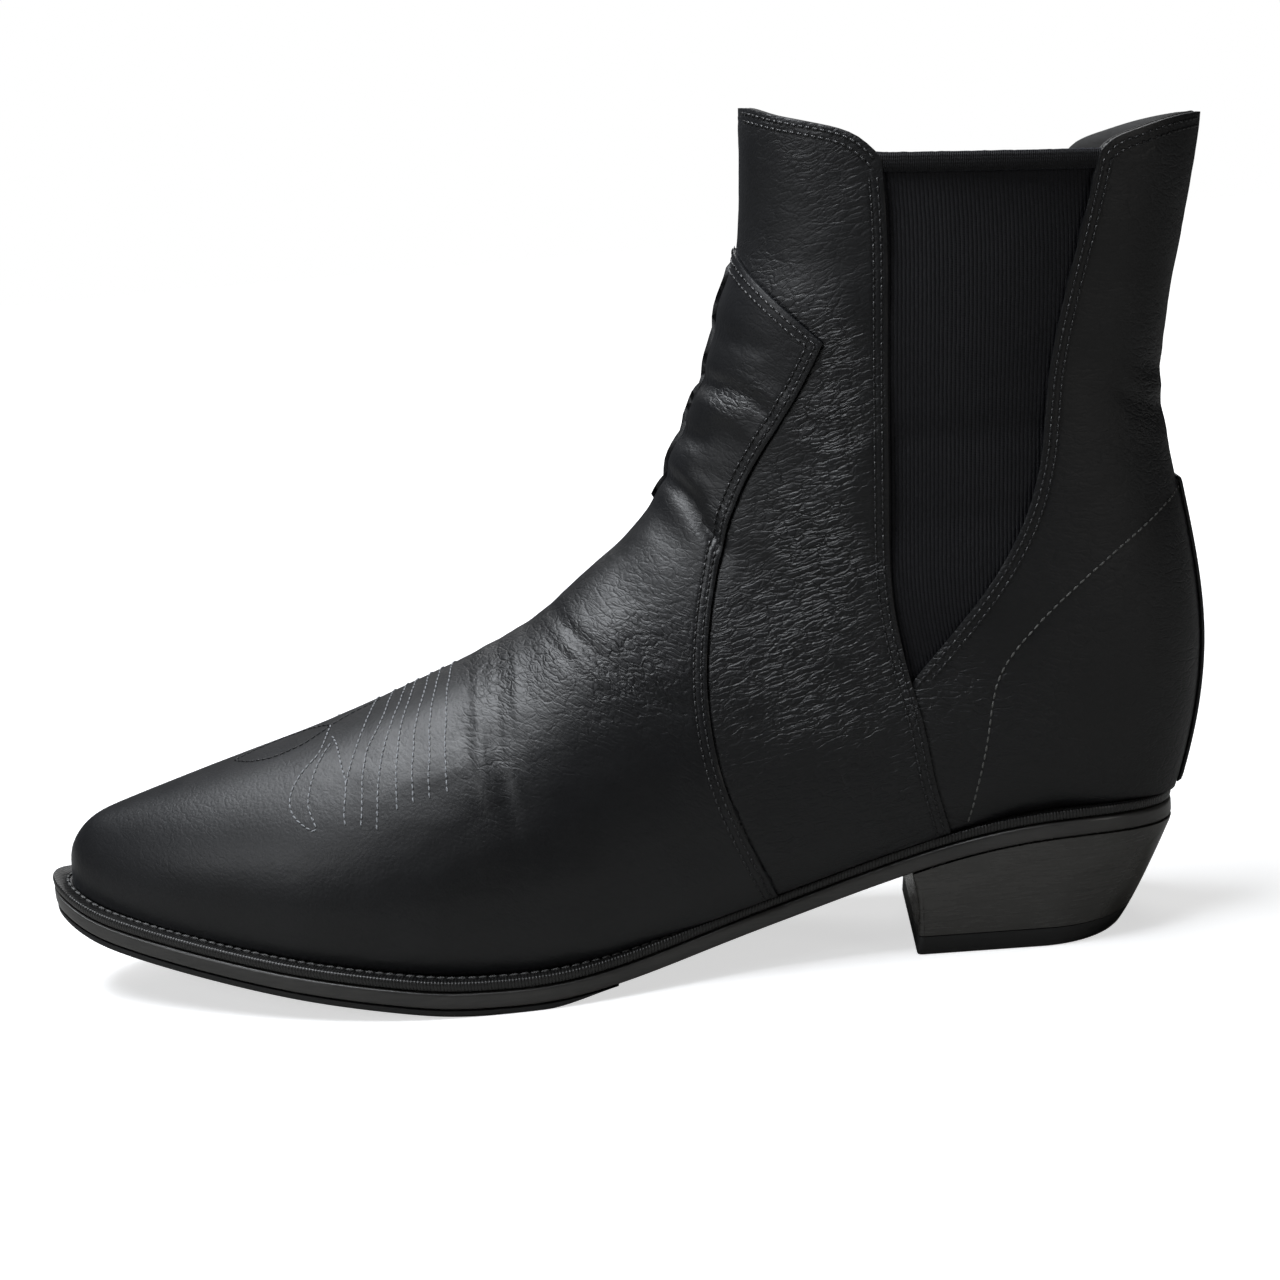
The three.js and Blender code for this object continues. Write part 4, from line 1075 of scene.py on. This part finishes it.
# welt: wheeled outer bead, a stitched channel, and the flat that runs in under the upper
scallop = 0.5 + 0.5 * np.cos(outlineRun * 2 * math.pi / 2.7)
stitched = smoothStep(-40, 0, featherOutline[:, 0])  # the channel fades out towards the heel
reachHere = reachAt(featherOutline[:, 0])
channel = np.clip(reachHere - 1.5, 1.0, None)
weltRows = [
    soleLoop(9.0, 2.75), soleLoop(9.0, 0.25), soleLoop(np.maximum(reachHere - 0.2, 1.4), 0.12),
    soleLoop(channel + 0.75, 0.1), soleLoop(channel + 0.2, 0.1 + 0.4 * stitched),
    soleLoop(channel - 0.3, 0.1 + 0.35 * stitched * scallop), soleLoop(channel - 0.8, -0.05),
    soleLoop(0.5 * channel, 0.0), soleLoop(0.75, -0.05), soleLoop(0.35, 0.1), soleLoop(0.1, 0.45), soleLoop(0.0, 1.0),
    soleLoop(0.05, 1.7), soleLoop(0.25, 2.3), soleLoop(0.7, 2.72), soleLoop(1.5, 2.78),
]
loopPiece("weltStrip", weltRows, weltLeather, "welt_leather", ["welt", "heel_rand"], ringClosed=True)

# outsole
low = soleSettings["welt"] + soleSettings["gap"]
high = low + soleSettings["outsole"]
top = [soleLoop(3.0, low, squeeze=k) for k in (0.02, 0.4, 0.75, 0.97)]
side = [soleLoop(1.0, low), soleLoop(0.55, low + 0.05), soleLoop(0.2, low + 0.35), soleLoop(0.1, low + 0.9),
        soleLoop(0.1, low + 2.2), soleLoop(0.12, high - 1.0), soleLoop(0.25, high - 0.45), soleLoop(0.6, high - 0.1),
        soleLoop(1.1, high)]
bottom = [soleLoop(3.0, high, squeeze=k) for k in (0.97, 0.85, 0.65, 0.45, 0.25, 0.02)]
loopPiece("outsoleLayer", top + side + bottom, soleEdge, "sole_leather", ["outsole"])

# rubber half sole, worn flat where it stands
low = high + soleSettings["gap"]
high = low + soleSettings["halfSole"]


def halfLoop(inset, drop, squeeze=1.0):
    loop = soleLoop(inset, drop, flatten=soleSettings["ground"] + 0.001 * drop, frontOf=halfSoleEnd, squeeze=squeeze)
    skived = 1 - smoothStep(halfSoleEnd, halfSoleEnd + soleSettings["skive"], loop[:, 0])  # thinned to its rear edge
    loop[:, 2] += 0.9 * skived * (drop - high + soleSettings["halfSole"])
    return loop


rows = [halfLoop(3.0, low, squeeze=k) for k in (0.02, 0.5, 0.97)]
rows += [halfLoop(0.9, low), halfLoop(0.5, low + 0.15), halfLoop(0.4, low + 0.5), halfLoop(0.45, high - 0.45),
         halfLoop(0.7, high - 0.1), halfLoop(1.3, high)]
rows += [halfLoop(3.0, high, squeeze=k) for k in (0.97, 0.8, 0.6, 0.4, 0.2, 0.02)]
loopPiece("halfSoleLayer", rows, rubberSole, "sole_rubber", ["half_sole"])
print("sole made")

# heel: D-shaped lifts that taper to a rubber top piece
heelSettings = {"back": -107.6, "length": 73.0, "half": 31.0, "backDrop": 15.5, "sideDrop": 3.2, "taper": 28.0,
                "lifts": 5, "topPiece": 5.4, "corner": 1.6, "seat": 7.5}
heelBreast = heelSettings["back"] + heelSettings["length"]


def heelOutline():
    half, breast = heelSettings["half"], heelBreast
    arcX = heelSettings["back"] + half
    arc = [[arcX - half * math.sin(a), half * math.cos(a)] for a in np.linspace(0, math.pi, 90)]
    c = heelSettings["corner"]
    turnIn = [[breast - c + c * math.cos(a), half - c + c * math.sin(a)] for a in np.linspace(0, math.pi / 2, 7)]
    side = np.vstack([[[breast, 0]], turnIn, arc, [[x, -y] for x, y in turnIn[::-1]], [[breast, 0]]])
    return evenly(side, 0.8)[:-1]


heelXY = heelOutline()
seatEdge = outlineLoop(0.15)


def seatLimit(x, side):  # half width of the outsole over the heel, on one side
    edge = seatEdge[seatEdge[:, 1] * side > 0]
    edge = edge[np.argsort(edge[:, 0])]
    return np.interp(x, edge[:, 0], np.abs(edge[:, 1]))


def heelLoop(z, squeeze=1.0, inset=0.0):
    ground = soleSettings["ground"]
    z = np.broadcast_to(z, (len(heelXY),)).astype(float)
    t = np.clip((z - ground) / heelSettings["taper"], 0, None)
    drop = np.maximum(0, 1 - t**0.85)
    along = (heelBreast - heelXY[:, 0]) / heelSettings["length"]
    x = heelXY[:, 0] + along * heelSettings["backDrop"] * drop
    hollow = 1.1 * np.sin(np.clip((z - ground) / 24, 0, 1) * math.pi) * (along < 0.03)
    y = heelXY[:, 1] * (1 - heelSettings["sideDrop"] / heelSettings["half"] * drop)
    limit = np.where(y > 0, seatLimit(x, 1), seatLimit(x, -1))
    limited = np.clip(y, -limit, limit)
    y = y + (limited - y) * smoothStep(0.5, 0.95, t)
    middle = x.mean()
    shrink = squeeze * (1 - inset / heelSettings["half"])
    return np.column_stack([middle + (x - hollow - middle) * shrink, y * shrink, z])


def liftSurface(n):  # height of the boundary under lift n, over the heel's outline
    low = soleSettings["ground"] + heelSettings["topPiece"] + 0.3
    seat = featherHeight(heelXY[:, 0]) - heelSettings["seat"]
    return low + (seat - low) * n / heelSettings["lifts"]


def layerPiece(name, lowZ, highZ, material, slot, replaced, round=0.12):
    low, high = np.broadcast_to(lowZ, (len(heelXY),)), np.broadcast_to(highZ, (len(heelXY),))
    rows = [heelLoop(low, k) for k in (0.03, 0.5)]
    rows += [heelLoop(low, 1, round * 2), heelLoop(low + round * 0.6, 1, round * 0.5)]
    rows += [heelLoop(low + (high - low) * t) for t in (0.12, 0.35, 0.6, 0.88)]
    rows += [heelLoop(high - round * 0.6, 1, round * 0.5), heelLoop(high, 1, round * 2)]
    rows += [heelLoop(high, k) for k in (0.5, 0.03)]
    loopPiece(name, rows, material, slot, replaced)


for n in range(heelSettings["lifts"]):
    layerPiece(f"heelLift_{n + 1}", liftSurface(n) - 0.28 + (0.012 if n else 0.1), liftSurface(n + 1) - 0.28, heelStack,
               "heel_leather", [f"heel_lift_{n + 1}"], 0.008)
ground = soleSettings["ground"]
layerPiece("heelTopPiece", ground, ground + heelSettings["topPiece"], rubberSole, "sole_rubber", ["heel_top_piece"], 0.3)
print("heel made")

# back strip over the rear seam
stripSettings = {"half": 4.9, "top": 118.0, "rows": 90, "wall": 0.9, "lift": 0.28}
stripU = np.linspace(heelBackU + 0.02, float(onSide([[-115.5, stripSettings["top"]]])[0, 0]), stripSettings["rows"])
across = np.array([-1.0, -0.97, -0.8, -0.55, -0.3, 0, 0.3, 0.55, 0.8, 0.97, 1.0]) * stripSettings["half"]
stripHigh = np.array([0.35, 1.0, 1.25, 1.27, 1.3, 1.3, 1.3, 1.27, 1.25, 1.0, 0.35])
angles = math.pi - np.arcsin(np.clip(across / ringAt(stripU)[:, 4:5], -1, 1))
us = np.broadcast_to(stripU[:, None], angles.shape)
out = skinNormal(us, angles)
ends = 0.3 + smoothStep(0, 0.12, np.linspace(0, 1, stripSettings["rows"]) * 8)[:, None]  # thin at both ends
tall = np.minimum(stripHigh, np.minimum(ends, ends[::-1])) + stripSettings["lift"]
bm = gridPiece(skinPoint(us, angles) + out * tall[..., None], out)
finishPiece("backStripSheet", bm, quarterLeather, wall=stripSettings["wall"], replaced=["back_strip"])

# sock liner, seen down the mouth
sockSettings = {"inside": 4.3, "top": 4.45, "wall": 1.2, "across": 33}
sockX = np.linspace(-100.5, 190.5, 150)
outerWide, innerWide = (np.interp(-sockX, -featherWidths[:, 0], featherWidths[:, i])[:, None] - sockSettings["inside"]
                        for i in (1, 2))
sockAcross = np.linspace(-1, 1, sockSettings["across"])
sockY = np.where(sockAcross > 0, outerWide, innerWide) * sockAcross
sockZ = featherHeight(sockX)[:, None] + sockSettings["top"]
sockBase = np.stack(np.broadcast_arrays(sockX[:, None], sockY, sockZ), -1)
bm = gridPiece(sockBase, np.zeros_like(sockBase) + [0, 0, 1.0])
finishPiece("sockSheet", bm, liningLeather, wall=sockSettings["wall"], replaced=["sock_liner"], slot="lining_leather")
print("strip and sock made")


# stitching
def offsetSide(curve, distance):  # move a side-view line sideways; positive is to the left of its run
    turn = np.gradient(curve, axis=0)
    for _ in range(3):
        turn[1:-1] = (turn[:-2] + turn[1:-1] * 2 + turn[2:]) / 4
    turn = turn / np.linalg.norm(turn, axis=1)[:, None]
    return curve + np.stack([-turn[:, 1], turn[:, 0]], axis=1) * distance


def stitchRun(path, pitch):  # where each stitch lies along a path, and the way it points
    run = runAlong(path)
    count = max(2, int(run[-1] / pitch))
    at = (np.arange(count) + 0.5) * run[-1] / count
    return at, run, rowsAt(at + 0.3, run, path) - rowsAt(at - 0.3, run, path)


def stitchRow(name, middle, ahead, out, look):
    length, width, tall = look["size"]
    bm = bmesh.new()
    chunk = bmesh.new()
    for n, (p, t, o) in enumerate(zip(toFrame(middle), ahead, out)):
        t, o = Vector(t).normalized(), Vector(o).normalized()
        side = o.cross(t).normalized()
        t = (t + side * look["lean"]).normalized()
        side = o.cross(t).normalized()
        o = t.cross(side)
        frameOf = Matrix((t, side, o)).transposed().to_4x4()
        scale = Matrix.Diagonal((length / 2000, width / 2000, tall / 2000, 1))
        bmesh.ops.create_uvsphere(chunk, u_segments=7, v_segments=6, radius=1.0,
                                  matrix=Matrix.Translation(Vector(p)) @ frameOf @ scale
                                  @ Matrix.Rotation(math.pi / 2, 4, "Y"))
        if n % 60 == 59 or n == len(middle) - 1:  # small batches keep this quick
            holder = bpy.data.meshes.new("holder")
            chunk.to_mesh(holder)
            bm.from_mesh(holder)
            bpy.data.meshes.remove(holder)
            chunk.clear()
    chunk.free()
    finishPiece(name, bm, look["thread"], slot="thread")


def skinStitches(name, line, height, look):  # stitches along a line of u and angle
    at, run, ahead = stitchRun(onSkin(line), look["pitch"])
    u, a = rowsAt(at, run, line).T
    out = skinNormal(u, a)
    middle = skinPoint(u, a)
    stitchRow(name, middle + out * (height(middle) + look["raised"])[:, None], ahead, out, look)


seamLook = {"pitch": 2.0, "size": (1.75, 0.72, 0.62), "thread": blackThread, "raised": 0.12, "lean": 0.0}
counterLook = {**seamLook, "pitch": 2.3, "size": (1.8, 0.55, 0.5), "thread": dimThread}
toeLook = {**seamLook, "pitch": 1.85, "size": (1.55, 0.5, 0.45), "raised": 0.1, "lean": 0.12}
weltLook = {**seamLook, "pitch": 2.7, "size": (2.3, 0.95, 0.8), "thread": weltThread, "lean": 0.1}


def cornered(first, second, distance):  # offset two lines that meet at a corner and join them there
    a, b = offsetSide(first, distance), offsetSide(second, distance)
    gap = np.linalg.norm(a[:, None] - b[None], axis=2)
    i, j = np.unravel_index(gap.argmin(), gap.shape)
    return np.vstack([a[:i + 1], b[j + 1:]])


def between(points, column, low, high):
    return points[(points[:, column] > low) & (points[:, column] < high)]


for side, word in ((1, "lateral"), (-1, "medial")):
    for n, distance in enumerate(lap["rows"], 1):
        moved = {name: offsetSide(curve, distance) for name, curve in sideCurves.items()}
        collars = {name: offsetSide(sideCurves[name], distance - 0.2) for name in ("collarFront", "collarRear")}
        goreFront = offsetSide(sideCurves["goreFront"][6:], distance)
        stitchLines = {
            "vampStitch": (cornered(sideCurves["vampTop"], sideCurves["vampSide"], distance), vampHeight),
            "frontStitch": (np.vstack([goreFront, moved["sideSeam"][1:]]), frontHeight),
            "goreStitch": (between(moved["goreRear"], 1, 72.5 + distance, 203), quarterHeight),
            "collarStitchFront": (between(collars["collarFront"], 0, -37.5, -5.2), frontHeight),
            "collarStitchRear": (between(collars["collarRear"], 0, -121, -93.5), quarterHeight),
        }
        for name, (points, height) in stitchLines.items():
            skinStitches(f"{name}{n}_{word}", trimmed(onSide(points)) * [1, side], height, seamLook)
    counterLine = sideCurves["counter"][sideCurves["counter"][:, 0] > -112.6]
    skinStitches(f"counterStitch_{word}", trimmed(onSide(counterLine)) * [1, side], quarterHeight, counterLook)
print("seam stitching made")


# toe stitching: a leaf on the ridge, two loops and the ribs across the toe break, in x y seen from above
toeBreakU = float(onSide([[60, 92]])[0, 0])
topProbeU, topProbeA = np.meshgrid(np.linspace(0.4, toeBreakU, 420), np.linspace(0, 1.9, 260), indexing="ij")
topProbe = skinPoint(topProbeU, topProbeA)


def fromAbove(points):
    found = []
    for x, y in points:
        d = (topProbe[..., 0] - x) ** 2 + (topProbe[..., 1] - abs(y)) ** 2
        i = np.unravel_index(d.argmin(), d.shape)
        found.append([topProbeU[i], topProbeA[i] * (1 if y >= 0 else -1)])
    return np.array(found)


toeLines = {
    "leafNear": [[147, 3.5], [142, 8.2], [136, 10.6], [130, 10.8], [124.5, 9.4], [118.6, 5.5], [112, 2.4], [105, 1.2]],
    "leafFar": [[147, 3.5], [142, 1.2], [136, -0.4], [130, -0.6], [124.5, 1.4], [118.6, 5.5]],
    "loop": [[118.6, 5.5], [119.4, 12], [120.8, 17.6], [124.2, 20.6], [126.6, 23.6], [127.7, 27.1], [126.8, 30.4],
             [124.2, 33.2], [119.5, 35.8], [121.7, 32.0], [122.4, 29.8], [122.0, 26.4], [120.8, 21.6], [117.5, 15]],
    "loopBack": [[117.5, 12], [115, 18.5], [113.1, 25.7], [111.8, 29.0], [112.1, 33.0], [112.0, 37.0]],
    "rib1": [[106.4, 0.3], [107.2, 9], [108.9, 17.1], [110.9, 24.6], [111.8, 29]],
    "rib2": [[101.6, 0.3], [102.2, 8], [103.7, 16.3], [106.4, 22], [107.2, 29.6], [107.4, 38]],
    "rib3": [[97.8, 0.3], [98.4, 8], [99.7, 15.3], [101.5, 22.5], [102.6, 29.2], [103.2, 39.4]],
    "rib4": [[94.9, 0.3], [95.4, 8], [96.4, 14.7], [97.5, 21.8], [97.9, 30.6], [97.9, 37.6]],
    "rib5": [[91.0, 0.3], [91.3, 8], [92, 13.9], [93.1, 21.5], [93.5, 30.1], [93.5, 37.3]],
    "rib6": [[87.9, 0.3], [88.1, 8], [88.6, 14.3], [89, 22.1], [89, 31.2], [89, 37.5]],
    "rib7": [[84.4, 0.3], [84.5, 8], [84.7, 13.6], [84.6, 23.7], [84.5, 32.4], [84.2, 37.5]],
}
for name, points in toeLines.items():
    for side, word in ((1, "lateral"), (-1, "medial")):
        if name.startswith("leaf") and side < 0:
            continue
        line = fromAbove(curveThrough(points, 0.8) * [1, side])
        for _ in range(4):
            line[1:-1] = (line[:-2] + 2 * line[1:-1] + line[2:]) / 4
        thread = blackThread if name.startswith("leaf") else greyThread
        skinStitches(f"toe_{name}_{word}", line, vampHeight, {**toeLook, "thread": thread})
print("toe stitching made")

# welt stitching, one row of thread lying in the channel
weltLoop = outlineLoop(channel)
keep = featherOutline[:, 0] > -22
order = np.roll(np.arange(len(keep)), -int(np.argmax(~keep)))
order = order[keep[order]]
weltPath = np.column_stack([weltLoop[order], featherHeight(weltLoop[order][:, 0]) - 0.12])
at, run, ahead = stitchRun(weltPath, weltLook["pitch"])
middle = rowsAt(at, run, weltPath)
stitchRow("weltStitch", middle, ahead, np.zeros_like(middle) + [0, 0, 1.0], weltLook)
print("welt stitching made")


# floor, lights and camera
studio = {"camera": (-0.0420, 0.6026, 0.20865), "yaw": 3.302, "pitch": -11.572, "roll": 5.208, "lens": 63.48}
floorMesh = bmesh.new()
bmesh.ops.create_grid(floorMesh, x_segments=1, y_segments=1, size=6.0)
floorData = bpy.data.meshes.new("floor")
floorMesh.to_mesh(floorData)
floorMesh.free()
floor = placeObject("floor", floorData)
floorFinish, floorTree, floorShader, floorPlace = startMaterial("paleFloor", Roughness=0.9, Emission_Color=(1, 1, 1, 1))
seenFloor = addNode(floorTree, "LightPath").outputs["Is Camera Ray"]
floorColour = mixColour(floorTree, seenFloor, (0.3, 0.295, 0.28, 1), (0.8, 0.8, 0.8, 1))
floorTree.links.new(floorColour, floorShader.inputs["Base Color"])
away = addNode(floorTree, "VectorMath", {"operation": "LENGTH"}, i0=floorPlace).outputs["Value"]
glow = addNode(floorTree, "MapRange", i0=away, i1=0.35, i2=1.0, i3=0.62, i4=1.1).outputs[0]
floorTree.links.new(mathNode(floorTree, "MULTIPLY", seenFloor, glow), floorShader.inputs["Emission Strength"])
floorData.materials.append(floorFinish)


def areaLight(name, place, target, size, power, colour):
    light = bpy.data.lights.new(name, "AREA")
    light.shape = "RECTANGLE"
    light.size, light.size_y = size
    light.energy = power
    light.color = colour
    lamp = placeObject(name, light)
    lamp.location = place
    lamp.rotation_euler = (Vector(target) - Vector(place)).to_track_quat("-Z", "Y").to_euler()


areaLight("topSoft", (0.45, 0.05, 1.2), (0, 0, 0.08), (1.0, 0.6), 20.0, (0.93, 0.96, 1.0))
areaLight("toeSide", (1.2, 0.9, 0.8), (0.02, 0, 0.08), (0.5, 0.5), 3.2, (0.95, 0.97, 1.0))
areaLight("heelSide", (-1.2, 0.9, 0.5), (-0.05, 0, 0.08), (0.4, 0.6), 1.6, (1.0, 0.97, 0.93))
areaLight("farSide", (0.1, -1.3, 0.9), (0, 0, 0.1), (1.0, 0.5), 4.0, (1, 1, 1))

world = bpy.data.worlds.new("room")
world.use_nodes = True
background = world.node_tree.nodes["Background"]
background.inputs["Color"].default_value = (1, 1, 1, 1)
seen = addNode(world.node_tree, "LightPath").outputs["Is Camera Ray"]
strength = mathNode(world.node_tree, "ADD", mathNode(world.node_tree, "MULTIPLY", seen, 0.97), 0.03)
world.node_tree.links.new(strength, background.inputs["Strength"])
bpy.context.scene.world = world
bpy.context.scene.view_settings.view_transform = "Standard"

cameraData = bpy.data.cameras.new("camera")
cameraData.lens = studio["lens"]
cameraData.sensor_width = 36.0
cameraData.clip_start, cameraData.clip_end = 0.01, 20.0
camera = placeObject("camera", cameraData)
yaw, pitch, roll = (math.radians(studio[k]) for k in ("yaw", "pitch", "roll"))
forward = Vector((math.sin(yaw) * math.cos(pitch), -math.cos(yaw) * math.cos(pitch), math.sin(pitch)))
levelRight = forward.cross(Vector((0, 0, 1))).normalized()
levelUp = levelRight.cross(forward)
right = levelRight * math.cos(roll) - levelUp * math.sin(roll)
up = levelRight * math.sin(roll) + levelUp * math.cos(roll)
turn = Matrix((right, up, -forward)).transposed().to_4x4()
camera.matrix_world = Matrix.Translation(studio["camera"]) @ turn
bpy.context.scene.camera = camera
print("stage ready")
